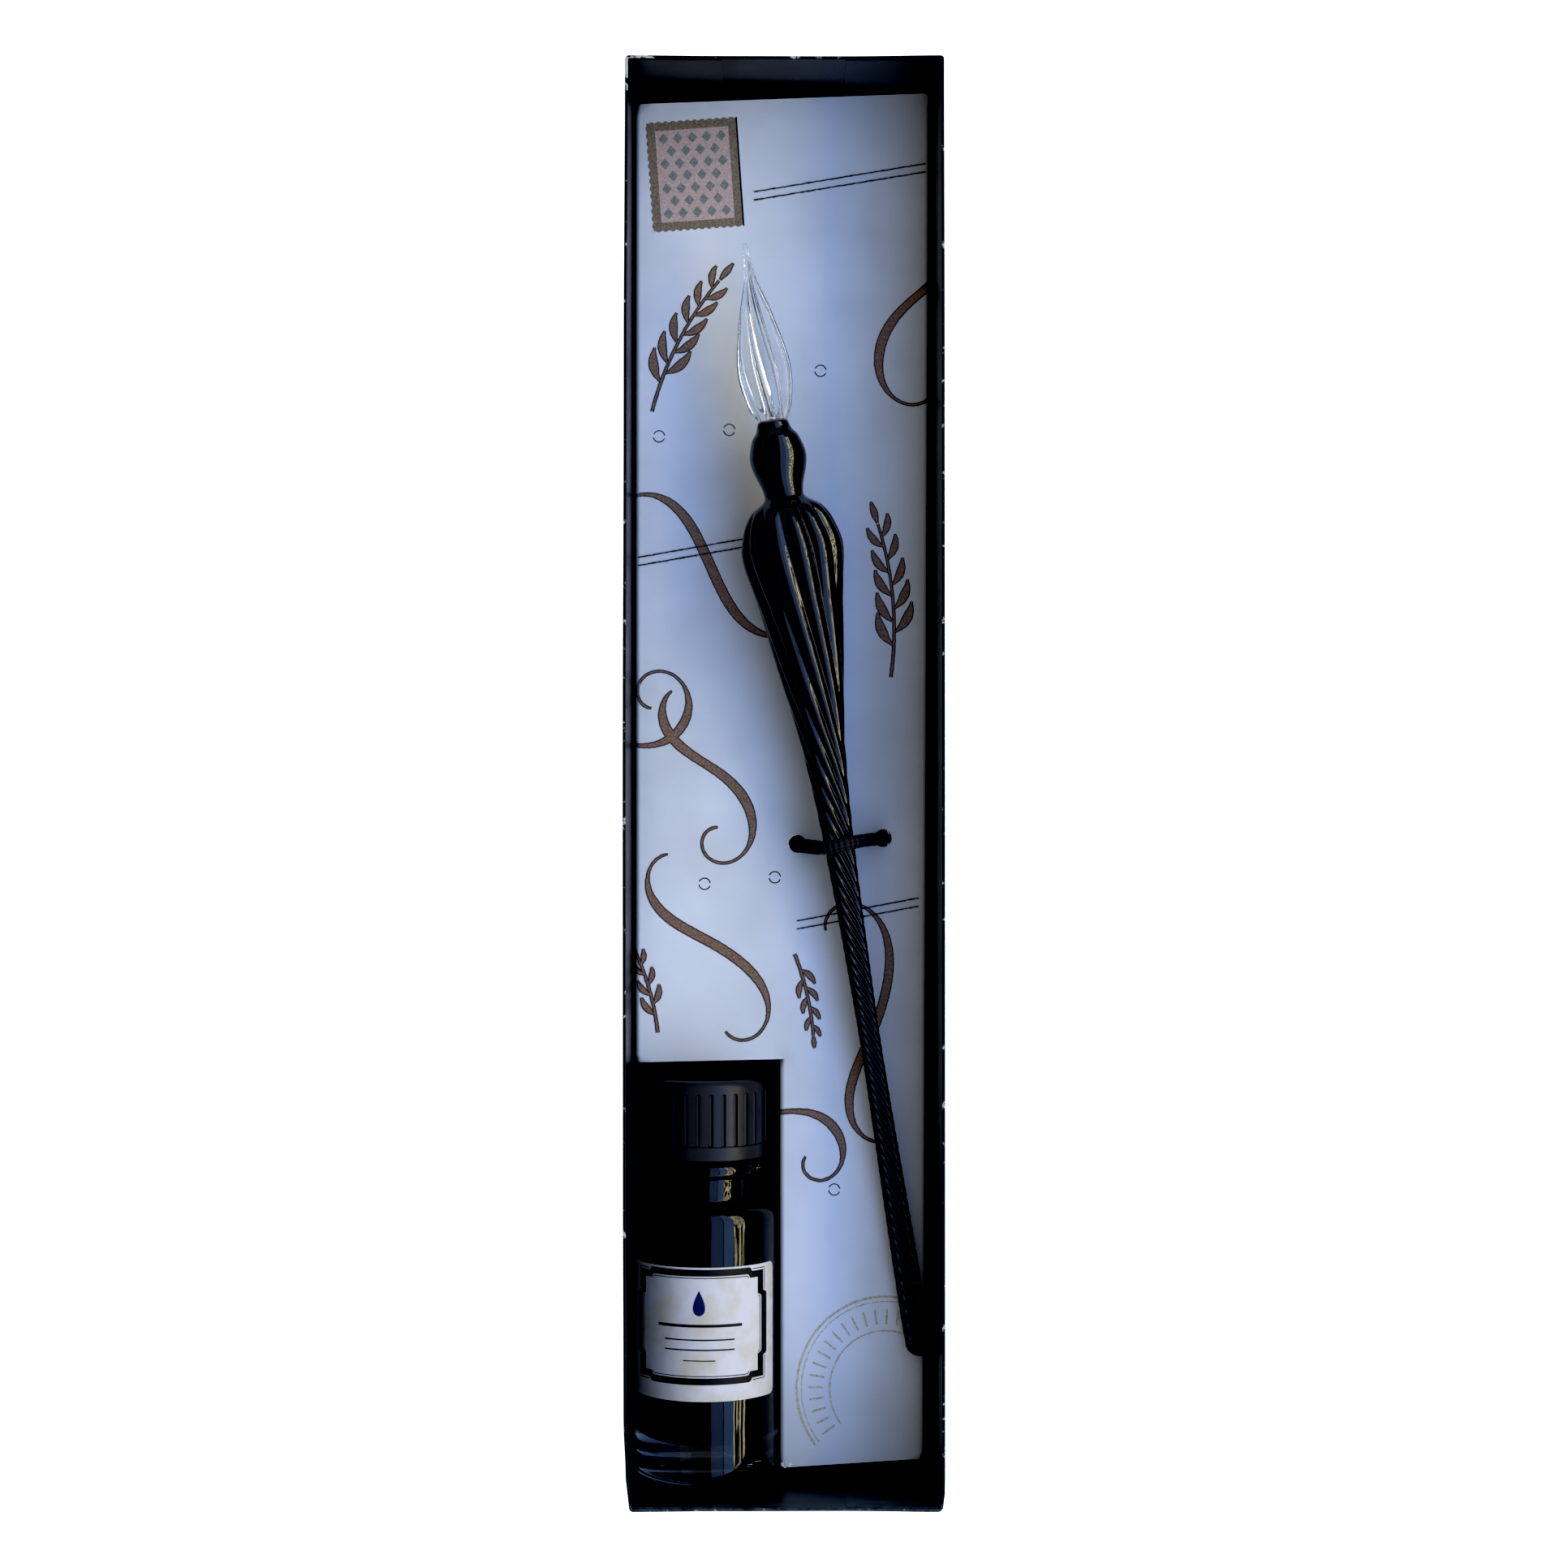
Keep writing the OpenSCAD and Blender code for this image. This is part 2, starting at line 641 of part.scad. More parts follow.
// Soft disc pressed into the cap, which seals the mouth
module cap_liner() {
    liner_top = cap_foot + cap_height - cap_top - joint_gap;
    color("#d8d8d2") bottle_frame()
        translate([0, 0, liner_top - liner]) cylinder(h = liner, r = cap_bore - liner_gap);
}

carton_tray();
card_platform();
elastic_loop();
pen_nib();
pen_handle();
bottle_glass();
bottle_label();
ink();
bottle_cap();
cap_liner();
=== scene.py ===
import math

import bmesh
import bpy
import numpy as np
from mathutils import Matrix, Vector, geometry, noise


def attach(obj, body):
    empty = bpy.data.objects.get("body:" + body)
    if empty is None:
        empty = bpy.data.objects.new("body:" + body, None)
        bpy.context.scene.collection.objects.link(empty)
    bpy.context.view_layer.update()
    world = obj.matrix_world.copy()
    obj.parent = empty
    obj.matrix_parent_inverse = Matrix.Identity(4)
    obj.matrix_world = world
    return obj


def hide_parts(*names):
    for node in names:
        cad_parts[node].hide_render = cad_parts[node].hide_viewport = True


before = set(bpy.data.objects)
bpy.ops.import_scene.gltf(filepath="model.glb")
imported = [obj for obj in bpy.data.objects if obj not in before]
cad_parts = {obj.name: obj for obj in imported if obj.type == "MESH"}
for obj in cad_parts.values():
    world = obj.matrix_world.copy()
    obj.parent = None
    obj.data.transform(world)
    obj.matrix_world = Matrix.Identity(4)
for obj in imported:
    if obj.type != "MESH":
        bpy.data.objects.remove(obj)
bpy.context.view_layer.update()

MM = 0.001  # every size below is in millimetres

# Camera and light
# The set is seen from straight above. Pale blue sky light comes in from high at
# its right, and a narrow strip of low warm daylight comes from beside it.
SENSOR, LENS = 36.0, 58.75
CAMERA_AT = (0.0, -4.09, 404.0)
VIEW_SHIFT = 34 / 1932

camera = bpy.data.objects.new("camera", bpy.data.cameras.new("camera"))
camera.data.sensor_width = SENSOR
camera.data.lens = LENS
camera.data.shift_y = VIEW_SHIFT
camera.location = [c * MM for c in CAMERA_AT]
bpy.context.scene.collection.objects.link(camera)
bpy.context.scene.camera = camera


def hex_rgb(code):
    """Linear red, green and blue of an sRGB hex colour."""
    parts = [int(code[k:k + 2], 16) / 255 for k in (1, 3, 5)]
    return [c / 12.92 if c <= 0.04045 else ((c + 0.055) / 1.055) ** 2.4 for c in parts]


def add(made, kind, inputs=None, ramp=(), **settings):
    """Adds a node with its settings, the stops of its colour ramp, and its inputs.

    An input is a value, a hex colour, another node or one of its outputs."""
    node = made.node_tree.nodes.new(kind)
    for key, value in settings.items():
        setattr(node, key, value)
    for k, (position, code) in enumerate(ramp):
        stops = node.color_ramp.elements
        stop = stops[k] if k < len(stops) else stops.new(position)
        stop.position, stop.color = position, (*hex_rgb(code), 1)
    for key, value in (inputs or {}).items():
        if isinstance(value, str):
            value = (*hex_rgb(value), 1)
        if isinstance(value, bpy.types.Node):
            value = value.outputs[0]
        if isinstance(value, bpy.types.NodeSocket):
            made.node_tree.links.new(value, node.inputs[key])
        else:
            node.inputs[key].default_value = value
    return node


def material(name):
    """A new material, and the place on its object, from which its patterns start."""
    made = bpy.data.materials.new(name)
    made.use_nodes = True
    made.node_tree.nodes.clear()
    return made, add(made, "ShaderNodeTexCoord").outputs["Object"]


def new_piece(name, skin, materials, crease=35):
    """A mesh object, smooth but for edges over crease degrees.

    Its skin is points in millimetres, faces and, with several materials, each face's own."""
    points, faces, *places = skin
    mesh = bpy.data.meshes.new(name)
    mesh.from_pydata((np.asarray(points, float) * MM).tolist(), [], faces)
    for made in materials:
        mesh.materials.append(made)
    if places:
        mesh.polygons.foreach_set("material_index", np.asarray(places[0], np.int32))
    shaped = bmesh.new()
    shaped.from_mesh(mesh)
    bmesh.ops.recalc_face_normals(shaped, faces=shaped.faces)
    limit = math.radians(crease)
    for face in shaped.faces:
        face.smooth = True
    for edge in shaped.edges:
        edge.smooth = len(edge.link_faces) == 2 and edge.calc_face_angle(0) < limit
    shaped.to_mesh(mesh)
    shaped.free()
    made = bpy.data.objects.new(name, mesh)
    bpy.context.scene.collection.objects.link(made)
    return made


def window(name, low, high, away, reach, code, strength, leaves=None):
    """A glowing pane between two angles from overhead, its distances in metres.

    Leaves of a given size, in metres, break its light up."""
    ends = [(away * math.sin(math.radians(a)), away * math.cos(math.radians(a))) for a in (low, high)]
    glow, spot = material(name)
    light = strength
    if leaves:
        foliage = add(glow, "ShaderNodeTexNoise", {"Vector": spot, "Scale": 1 / leaves, "Detail": 3.0})
        light = add(glow, "ShaderNodeMapRange", {
            "Value": foliage, "From Min": 0.44, "From Max": 0.55,
            "To Min": 0.05 * strength, "To Max": 1.75 * strength})
    shader = add(glow, "ShaderNodeEmission", {"Color": code, "Strength": light})
    add(glow, "ShaderNodeOutputMaterial", {"Surface": shader})
    corners = [(x * 1000, y * 1000, z * 1000) for x, z in ends for y in (-reach, reach)]
    pane = new_piece(name, (corners, [(0, 1, 3, 2)]), [glow])
    pane.visible_camera = False


window("sky_high", 9, 27.5, 1.6, 2.6, "#B7CEFF", 2.05)
window("sky_low", 29, 45, 1.6, 2.6, "#A9C8FF", 3.3)
window("warm_leaves", 45, 65, 1.9, 2.0, "#FFF3D3", 4.9, 0.1)

world = bpy.data.worlds.new("room")
world.use_nodes = True
room = world.node_tree.nodes["Background"]
room.inputs["Color"].default_value = (*hex_rgb("#F3F4F6"), 1)
room.inputs["Strength"].default_value = 0.55
bpy.context.scene.world = world

# The picture is printed with deep shadows, so the view has more contrast than plain
look = bpy.context.scene.view_settings
look.view_transform = "Standard"
look.gamma = 0.8
look.use_curve_mapping = True
look.curve_mapping.black_level = (0.029, 0.029, 0.029)
look.curve_mapping.update()

# Floor
# A plain white table top. Its paint is bright enough to read as white in this
# dim light, which stands in for the cut-out background of a shop picture.
TABLE_HALF, TABLE_GAP = 900, 0.05
table_paint = material("white_table_paint")[0]
shader = add(table_paint, "ShaderNodeBsdfPrincipled", {
    "Base Color": "#F4F4F4", "Roughness": 0.7,
    "Emission Color": "#FFFFFF", "Emission Strength": 1.0})
add(table_paint, "ShaderNodeOutputMaterial", {"Surface": shader})
table = [(x * TABLE_HALF, y * TABLE_HALF, -TABLE_GAP) for x, y in ((-1, -1), (1, -1), (1, 1), (-1, 1))]
floor = new_piece("floor", (table, [(0, 1, 2, 3)]), [table_paint])

# Carton tray
# One blank of black art board with a glossy film, folded up at its four sides and
# glued at four corner tabs. Handling has bent the walls a little and rubbed the
# film off corners and rims, where the pale paper core shows.
LENGTH, WIDTH, HEIGHT = 213.0, 47.2, 30.0
BOARD, FOLD, CORNER, RIM_ROUND = 0.45, 0.8, 0.55, 0.07
SHARPEST = 0.04  # least radius of the walls' inner corners
TAB_WIDTH, TAB_DROP, TAB_SLANT = 14.0, 0.3, 2.5
TAB_GAP, TAB_ROOT = 0.01, 0.03  # what a tab keeps off the end wall and off the side wall
TAB_PRESSED = 0.14  # what shows of a tab's thickness where it is glued down hard
TAB_STEPS = 8

# How far the rim leans in, along each wall
LEAN_LEFT = [(-106.5, 0.95), (-101, 0.42), (-93, 0.12), (-60, 0.04), (0, 0.0), (60, 0.15),
             (106.5, 0.34)]
LEAN_RIGHT = [(-106.5, 0.48), (-105.3, 0.12), (-103, 0.02), (0, 0.03), (60, 0.08), (106.5, 0.16)]
LEAN_END = [(-23.6, 0.0), (-8, 0.12), (9, 0.16), (23.6, 0.0)]
SIDE_ZONE, END_ZONE = 1.2, 1.6  # what lies this near to a wall's outside bends with it
BOW_RIGHT = 0.28  # how far the right wall bows in at half its height
BOW_FADE = 12.0  # and how far from the tray's ends it starts to


def arc(x, y, radius, start, end, steps):
    """Points on an arc, from a start angle to an end angle in degrees."""
    angles = [math.radians(start + (end - start) * k / steps) for k in range(steps + 1)]
    return [(x + radius * math.cos(a), y + radius * math.sin(a)) for a in angles]


def stretch(start, end, steps):
    """Points in even steps from one point up to another, which is left out."""
    return [tuple(a + (b - a) * k / steps for a, b in zip(start, end)) for k in range(steps)]


def ring_faces(rings, count, closed=False):
    """Faces of a skin that has its points ring by ring; closed joins the last ring to the first."""
    faces = []
    for k in range(rings if closed else rings - 1):
        for c in range(count):
            n = (c + 1) % count
            above = (k + 1) % rings * count
            faces.append((k * count + c, k * count + n, above + n, above + c))
    if not closed:
        faces += [tuple(range(count)), tuple(range((rings - 1) * count, rings * count))]
    return faces


def slab(flat, cells, place, low, high):
    """A closed skin round a sheet's cells, from lift low to lift high."""
    count = len(flat)
    points = [place(u, v, lift) for lift in (high, low) for u, v in flat]
    sides = {(a, b) for cell in cells for a, b in zip(cell, cell[1:] + cell[:1])}
    walls = [(b, a, a + count, b + count) for a, b in sides if (b, a) not in sides]
    used = sorted({k for cell in cells for k in cell})
    rows = {old: new for new, old in enumerate(used + [k + count for k in used])}
    faces = cells + [tuple(k + count for k in reversed(cell)) for cell in cells] + walls
    return [points[k] for k in rows], [tuple(rows[k] for k in face) for face in faces]


def lay(skin, points, faces, place=0):
    """Adds to a skin that is gathered from many; place is its material's, or one for each face."""
    first = len(skin[0])
    skin[0].extend(points)
    skin[1].extend(tuple(k + first for k in face) for face in faces)
    skin[2].extend([place] * len(faces) if isinstance(place, int) else place)


def lean(table, place):
    """Smooth value between a table's entries."""
    for (a, low), (b, high) in zip(table, table[1:]):
        if place <= b:
            share = max(0.0, (place - a) / (b - a))
            return low + (high - low) * share * share * (3 - 2 * share)
    return table[-1][1]


def bent(x, y, z):
    """A point of the tray after the walls have bent inwards."""
    up = max(0.0, z) / HEIGHT
    if abs(x) > WIDTH / 2 - SIDE_ZONE:
        x -= math.copysign(up ** 2 * lean(LEAN_LEFT if x < 0 else LEAN_RIGHT, y), x)
    if x > WIDTH / 2 - SIDE_ZONE:
        x -= BOW_RIGHT * math.sin(math.pi * min(1, up)) * min(1, (LENGTH / 2 - abs(y)) / BOW_FADE)
    if abs(y) > LENGTH / 2 - END_ZONE:
        y -= math.copysign(up ** 2 * lean(LEAN_END, x), y)
    return x, y, z


def tray_loop(inset):
    """Points round the tray's walls, in from the outside by inset."""
    radius = max(CORNER - inset, SHARPEST)
    far_x, far_y = WIDTH / 2 - inset - radius, LENGTH / 2 - inset - radius
    corners = [arc(sx * far_x, sy * far_y, radius, start, start + 90, 4)
               for sx, sy, start in ((1, 1, 0), (-1, 1, 90), (-1, -1, 180), (1, -1, 270))]
    loop = []
    for corner, after, steps in zip(corners, corners[1:] + corners[:1], (22, 96, 22, 96)):
        loop += corner + stretch(corner[-1], after[0], steps)[1:]
    return loop


def tab_point(u, v, lift):
    """A point of the tab at the far right corner: u runs along it from its fold, and v up it."""
    foot = FOLD + TAB_SLANT * u
    return (WIDTH / 2 - BOARD - TAB_ROOT - TAB_WIDTH * u, LENGTH / 2 - BOARD - TAB_GAP - lift,
            foot + (HEIGHT - TAB_DROP - foot) * v)


quarter = [math.radians(15 * k) for k in range(7)]
levels = [2, 4, 7, 10, 13, 16, 19, 22, 25, 27.5, 29, 29.6]
rim = [(0, HEIGHT - RIM_ROUND), (RIM_ROUND * 0.3, HEIGHT - RIM_ROUND * 0.3), (RIM_ROUND, HEIGHT)]
tray_rings = [(FOLD - FOLD * math.sin(a), FOLD - FOLD * math.cos(a)) for a in quarter]
tray_rings += [(0, z) for z in levels] + rim
tray_rings += [(BOARD - inset, z) for inset, z in reversed(rim)]
tray_rings += [(BOARD, z) for z in reversed(levels)]
tray_rings += [(FOLD - (FOLD - BOARD) * math.sin(a), FOLD - (FOLD - BOARD) * math.cos(a))
               for a in reversed(quarter)]
tray_skin = ([], [], [])
lay(tray_skin, [bent(x, y, z) for inset, z in tray_rings for x, y in tray_loop(inset)],
    ring_faces(len(tray_rings), len(tray_loop(0))))

# The glued tabs lie flat against the inside of the end walls
row = TAB_STEPS + 1
tab_grid = [(a / TAB_STEPS, b / TAB_STEPS) for a in range(row) for b in range(row)]
tab_cells = [(k, k + row, k + row + 1, k + 1)
             for k in range(TAB_STEPS * row) if k % row < TAB_STEPS]
tab_points, tab_faces = slab(tab_grid, tab_cells, tab_point, 0, TAB_PRESSED)
for sx, sy in ((-1, -1), (-1, 1), (1, -1), (1, 1)):
    lay(tray_skin, [bent(sx * x, sy * y, z) for x, y, z in tab_points], tab_faces)

# Black-printed art board under a glossy polypropylene film: a clean mirror-like
# sheen with the board's faint orange peel, and dull pale core where it is rubbed.
board_film, where = material("laminated_black_board")
split = add(board_film, "ShaderNodeSeparateXYZ", {0: where})
peel = add(board_film, "ShaderNodeTexNoise", {"Vector": where, "Scale": 1000 / 1.1, "Detail": 3.0})
grain = add(board_film, "ShaderNodeTexNoise", {"Vector": where, "Scale": 1000 / 0.35, "Detail": 2.0})
haze = add(board_film, "ShaderNodeTexNoise", {"Vector": where, "Scale": 1000 / 14, "Detail": 2.0})
rub_and_reflection_noise = add(board_film, "ShaderNodeTexNoise", {
    "Vector": where, "Scale": 1000 / 2.3, "Detail": 5.0, "Roughness": 0.7})

# The rim is rubbed all round, and most where its far left corner was knocked
near_rim = add(board_film, "ShaderNodeMapRange", {
    "Value": split.outputs["Z"], "From Min": (HEIGHT - 0.45) * MM, "From Max": HEIGHT * MM,
    "To Min": 0.0, "To Max": 0.155})
rubbed = add(board_film, "ShaderNodeMath", {0: rub_and_reflection_noise, 1: near_rim}, operation="ADD")
knock = add(board_film, "ShaderNodeVectorMath", {
    0: where, 1: ((0.3 - WIDTH / 2) * MM, (LENGTH / 2 - 0.9) * MM, HEIGHT * MM)}, operation="DISTANCE")
knocked = add(board_film, "ShaderNodeMapRange", {
    "Value": knock.outputs["Value"], "From Min": 0.0, "From Max": 6 * MM, "To Min": 0.17, "To Max": 0.0})
worn = add(board_film, "ShaderNodeMath", {0: rubbed, 1: knocked}, operation="ADD")
core = add(board_film, "ShaderNodeMapRange", {"Value": worn, "From Min": 0.745, "From Max": 0.79})

# A patchy grey-blue reflection is painted on the near end wall below its rim
near_end = add(board_film, "ShaderNodeMapRange", {
    "Value": split.outputs["Y"], "From Min": (1.3 - LENGTH / 2) * MM, "From Max": (0.8 - LENGTH / 2) * MM})
near_top = add(board_film, "ShaderNodeMapRange", {
    "Value": split.outputs["Z"], "From Min": (HEIGHT - 4.5) * MM, "From Max": (HEIGHT - 1.5) * MM,
    "To Max": 0.42})
near_end_reflection_band = add(board_film, "ShaderNodeMath", {0: near_end, 1: near_top}, operation="MULTIPLY")
reflection_patchiness = add(board_film, "ShaderNodeMapRange", {"Value": rub_and_reflection_noise, "From Min": 0.36, "From Max": 0.6})
painted_reflection_patches = add(board_film, "ShaderNodeMath", {0: near_end_reflection_band, 1: reflection_patchiness}, operation="MULTIPLY")
bare_core_and_painted_reflection = add(board_film, "ShaderNodeMath", {0: core, 1: painted_reflection_patches}, operation="MAXIMUM")
# Black film, the painted grey-blue reflection, and the pale rubbed core
colour = add(board_film, "ShaderNodeValToRGB", {"Fac": bare_core_and_painted_reflection}, [
    (0.0, "#08090B"), (0.42, "#46535A"), (1.0, "#B9B7B0")])
gloss = add(board_film, "ShaderNodeMapRange", {
    "Value": haze, "From Min": 0.3, "From Max": 0.7, "To Min": 0.26, "To Max": 0.36})
rough = add(board_film, "ShaderNodeMath", {0: bare_core_and_painted_reflection, 1: 0.5, 2: gloss}, operation="MULTIPLY_ADD")
fine = add(board_film, "ShaderNodeBump", {"Height": grain, "Strength": 0.10, "Distance": 0.02 * MM})
relief = add(board_film, "ShaderNodeBump", {
    "Height": peel, "Strength": 0.20, "Distance": 0.05 * MM, "Normal": fine})
shader = add(board_film, "ShaderNodeBsdfPrincipled", {
    "Base Color": colour, "Roughness": rough, "IOR": 1.45, "Normal": relief})
add(board_film, "ShaderNodeOutputMaterial", {"Surface": shader})

tray = new_piece("folded_tray", tray_skin, [board_film], crease=30)
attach(tray, "tray")
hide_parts("carton_tray")

# Card platform
# One sheet of white art card, printed in brown and black, creased and folded down
# along its long sides so that it stands on the tray's floor. The bay for the
# bottle, the cord's holes and six knock-outs held by small nicks are die-cut.
CARD, CARD_FOLD = 0.5, 0.8
DECK, FOOT = 14.0, 0.55
DECK_LEFT, DECK_RIGHT = -22.65, 22.1
FAR_LEFT, FAR_RIGHT = 103.75, 105.35
NEAR_BAY, NEAR_RIGHT = -104.05, -102.75
BAY_X, BAY_LEFT, BAY_RIGHT = -0.6, -42.3, -41.8
BAY_TRIM = 0.9  # how far the bay's flap is cut back at its foot
BAY_SPLIT = 0.04  # slope of the line that parts the bay's flap from the deck beyond the bay
NARROWING = 0.8  # how much narrower the card is at its near end
CARD_MESH = 2.2  # how far apart the points of its mesh are
KNOCKOUTS = [(5.6, 63.1), (7.9, -61.7), (-19.05, 53.1), (-8.35, 54.1), (-12.1, -15.1), (-1.4, -14.1)]
KNOCKOUT_R, KNOCKOUT_CUT = 0.95, 0.17
NICKS = [(8, 158), (188, 338)]
fold_run = CARD_FOLD * math.pi / 2
flap_run = DECK - CARD_FOLD - FOOT
left_line = DECK_LEFT + CARD_FOLD
right_line = DECK_RIGHT - CARD_FOLD
bay_line = BAY_X + CARD_FOLD
middle_line = (bay_line + right_line) / 2


def card_point(u, v, lift):
    """Where the sheet's point (u, v) is after folding, lift above its printed face."""
    in_bay = u < bay_line and v < BAY_RIGHT - BAY_SPLIT * (bay_line - u)
    line, side = (bay_line if in_bay else left_line), -1
    if u > middle_line:
        line, side = right_line, 1
    past = (u - line) * side
    if past <= 0:
        x, z = u, DECK + lift
    elif past < fold_run:
        angle = past / CARD_FOLD
        x = line + side * (CARD_FOLD + lift) * math.sin(angle)
        z = DECK - CARD_FOLD + (CARD_FOLD + lift) * math.cos(angle)
    else:
        x = line + side * (CARD_FOLD + lift)
        z = DECK - CARD_FOLD - (past - fold_run)
    if x > 0:
        x -= NARROWING * min(1, x / right_line) * (FAR_RIGHT - v) / (FAR_RIGHT - NEAR_RIGHT)
    return x, v, z


def inside(places, ring):
    """Which of the flat places lie inside a ring."""
    u, v = places[:, 0], places[:, 1]
    odd = np.zeros(len(places), bool)
    for (a, b), (c, d) in zip(ring, ring[1:] + ring[:1]):
        if b != d:
            odd ^= ((b > v) != (d > v)) & (u < (c - a) * (v - b) / (d - b) + a)
    return odd


def cut_sheet(outline, holes, spacing, columns=()):
    """Points and triangles of a flat sheet with holes; columns are (u, lowest v, highest v)."""
    rims = []
    for ring in [outline] + holes:
        rim = []
        for here, there in zip(ring, ring[1:] + ring[:1]):
            rim += stretch(here, there, max(1, round(math.dist(here, there) / spacing)))
        rims.append(rim)
    low, high = np.min(outline, axis=0), np.max(outline, axis=0)
    grid = [(u, v) for u in np.arange(low[0] + spacing / 2, high[0], spacing)
            for v in np.arange(low[1] + spacing / 2, high[1], spacing)
            if all(abs(u - line) > spacing / 3 or not a < v < b for line, a, b in columns)]
    grid += [(u, v) for u, a, b in columns for v in np.arange(a + spacing / 2, b, spacing)]
    grid = np.array(grid)
    clear = inside(grid, outline)
    for rim in rims:
        near = np.array(rim)
        for start in range(0, len(grid), 500):
            part = grid[start:start + 500, None] - near[None]
            clear[start:start + 500] &= np.hypot(part[..., 0], part[..., 1]).min(axis=1) > spacing * 0.3
    for ring in holes:
        clear &= ~inside(grid, ring)
    flat, edges = [tuple(g) for g in grid[clear]], []
    for rim in rims:
        first = len(flat)
        flat += rim
        edges += [(first + k, first + (k + 1) % len(rim)) for k in range(len(rim))]
    flat, _, cells, _, _, _ = geometry.delaunay_2d_cdt([Vector(p) for p in flat], edges, [], 0, 1e-6)
    flat = np.array([tuple(p) for p in flat])
    middles = np.array([flat[list(cell)].mean(axis=0) for cell in cells])
    kept = inside(middles, outline)
    for ring in holes:
        kept &= ~inside(middles, ring)
    return flat, [tuple(cell) for cell, keep in zip(cells, kept) if keep]


def swung(x, y, degrees, at):
    """A point turned about the origin, and then moved to its place."""
    c, s = math.cos(math.radians(degrees)), math.sin(math.radians(degrees))
    return at[0] + x * c - y * s, at[1] + x * s + y * c


# The pen's place fixes the elastic's: where it crosses the pen, seen from above
PEN_TURN, ELASTIC_Y, ELASTIC_TURN = 9.03, 8.6, 3.7
HOLE_LEFT, HOLE_RIGHT, HOLE_R = 6.15, 7.2, 1.35
TIP = (-5.9, 80.25)
crossing = (TIP[0] + (TIP[1] + ELASTIC_Y) * math.tan(math.radians(PEN_TURN)), -ELASTIC_Y)
hole_at = [swung(reach, 0, ELASTIC_TURN, crossing) for reach in (-HOLE_LEFT, HOLE_RIGHT)]

left_foot = left_line - fold_run - flap_run
bay_foot = bay_line - fold_run - flap_run
right_foot = right_line + fold_run + flap_run
outline = [
    (left_foot, BAY_LEFT), (left_line, BAY_LEFT), (bay_line, BAY_RIGHT), (bay_foot, BAY_RIGHT - BAY_TRIM),
    (bay_foot, NEAR_BAY), (bay_line, NEAR_BAY), (right_line, NEAR_RIGHT), (right_foot, NEAR_RIGHT),
    (right_foot, FAR_RIGHT), (right_line, FAR_RIGHT), (left_line, FAR_LEFT), (left_foot, FAR_LEFT)]
holes = [arc(x, y, KNOCKOUT_R, a, b, 14) + arc(x, y, KNOCKOUT_R - KNOCKOUT_CUT, b, a, 14)
         for x, y in KNOCKOUTS for a, b in NICKS]
holes += [[(x + HOLE_R * (1 + 0.05 * noise.noise(Vector((p, q, 3)))) * p, y + HOLE_R * q)
           for p, q in arc(0, 0, 1, 0, 350, 35)] for x, y in hole_at]
columns = [(line + side * fold_run * k / 6, low, high) for k in range(7) for line, side, low, high in (
    (left_line, -1, BAY_LEFT, FAR_LEFT), (right_line, 1, NEAR_RIGHT, FAR_RIGHT),
    (bay_line, -1, NEAR_BAY, BAY_RIGHT))]
card_skin = ([], [], [])
lay(card_skin, *slab(*cut_sheet(outline, holes, CARD_MESH, columns), card_point, -CARD, 0))

# White art card with a satin coating: almost matt, faintly bluish, with the soft
# cloudy tint of an offset-printed ground and bare white pulp at the cut edges.
art_card, where = material("satin_coated_art_card")
cloud = add(art_card, "ShaderNodeTexNoise", {"Vector": where, "Scale": 1000 / 22, "Detail": 3.0})
fibre = add(art_card, "ShaderNodeTexNoise", {"Vector": where, "Scale": 1000 / 0.5, "Detail": 4.0})
ground = add(art_card, "ShaderNodeValToRGB", {"Fac": cloud}, [(0.35, "#CFD3D6"), (0.68, "#DFE3E8")])
tooth = add(art_card, "ShaderNodeBump", {"Height": fibre, "Strength": 0.25, "Distance": 0.03 * MM})
shader = add(art_card, "ShaderNodeBsdfPrincipled", {
    "Base Color": ground, "Roughness": 0.52, "IOR": 1.45, "Normal": tooth})
add(art_card, "ShaderNodeOutputMaterial", {"Surface": shader})

# Unprinted pulp, pushed up round the punched holes: pure white and fibrous
bare_pulp, where = material("bare_white_pulp")
fluff = add(bare_pulp, "ShaderNodeTexNoise", {"Vector": where, "Scale": 1000 / 0.2, "Detail": 3.0})
tuft = add(bare_pulp, "ShaderNodeBump", {"Height": fluff, "Strength": 0.5, "Distance": 0.05 * MM})
shader = add(bare_pulp, "ShaderNodeBsdfPrincipled", {
    "Base Color": "#FAFAF7", "Roughness": 0.9, "Normal": tuft})
add(bare_pulp, "ShaderNodeOutputMaterial", {"Surface": shader})

BURR, BURR_ROUGH, BURR_STEPS = 0.17, 0.12, 24  # width of a torn edge, and how ragged it is
BURR_ON = 0.04  # how far a burr's ends reach onto the card, and its middle into the hole
burr_cells = [(k, 2 * BURR_STEPS - k, 2 * BURR_STEPS + 1 - k) for k in range(1, BURR_STEPS)]
burr_cells += [(k, k + 1, 2 * BURR_STEPS - k) for k in range(BURR_STEPS)]
for (x, y), reach, start, end in (
        (hole_at[0], HOLE_R, 95, 150), (hole_at[0], HOLE_R, 185, 205), (hole_at[1], 1.02, -62, 62)):
    inner_edge, outer_edge = [], []
    for k, (p, q) in enumerate(arc(0, 0, 1, start, end, BURR_STEPS)):
        r = reach - BURR_ON + (HOLE_R + BURR_ON - reach) * abs(2 * k / BURR_STEPS - 1) ** 4
        inner_edge.append((x + r * p, y + r * q))
        r += BURR + BURR_ROUGH * noise.noise(Vector((p * 6, q * 6, 4)))
        outer_edge.append((x + r * p, y + r * q))
    lay(card_skin, *slab(inner_edge + outer_edge[::-1], burr_cells, card_point, -0.1, 0.12), 1)

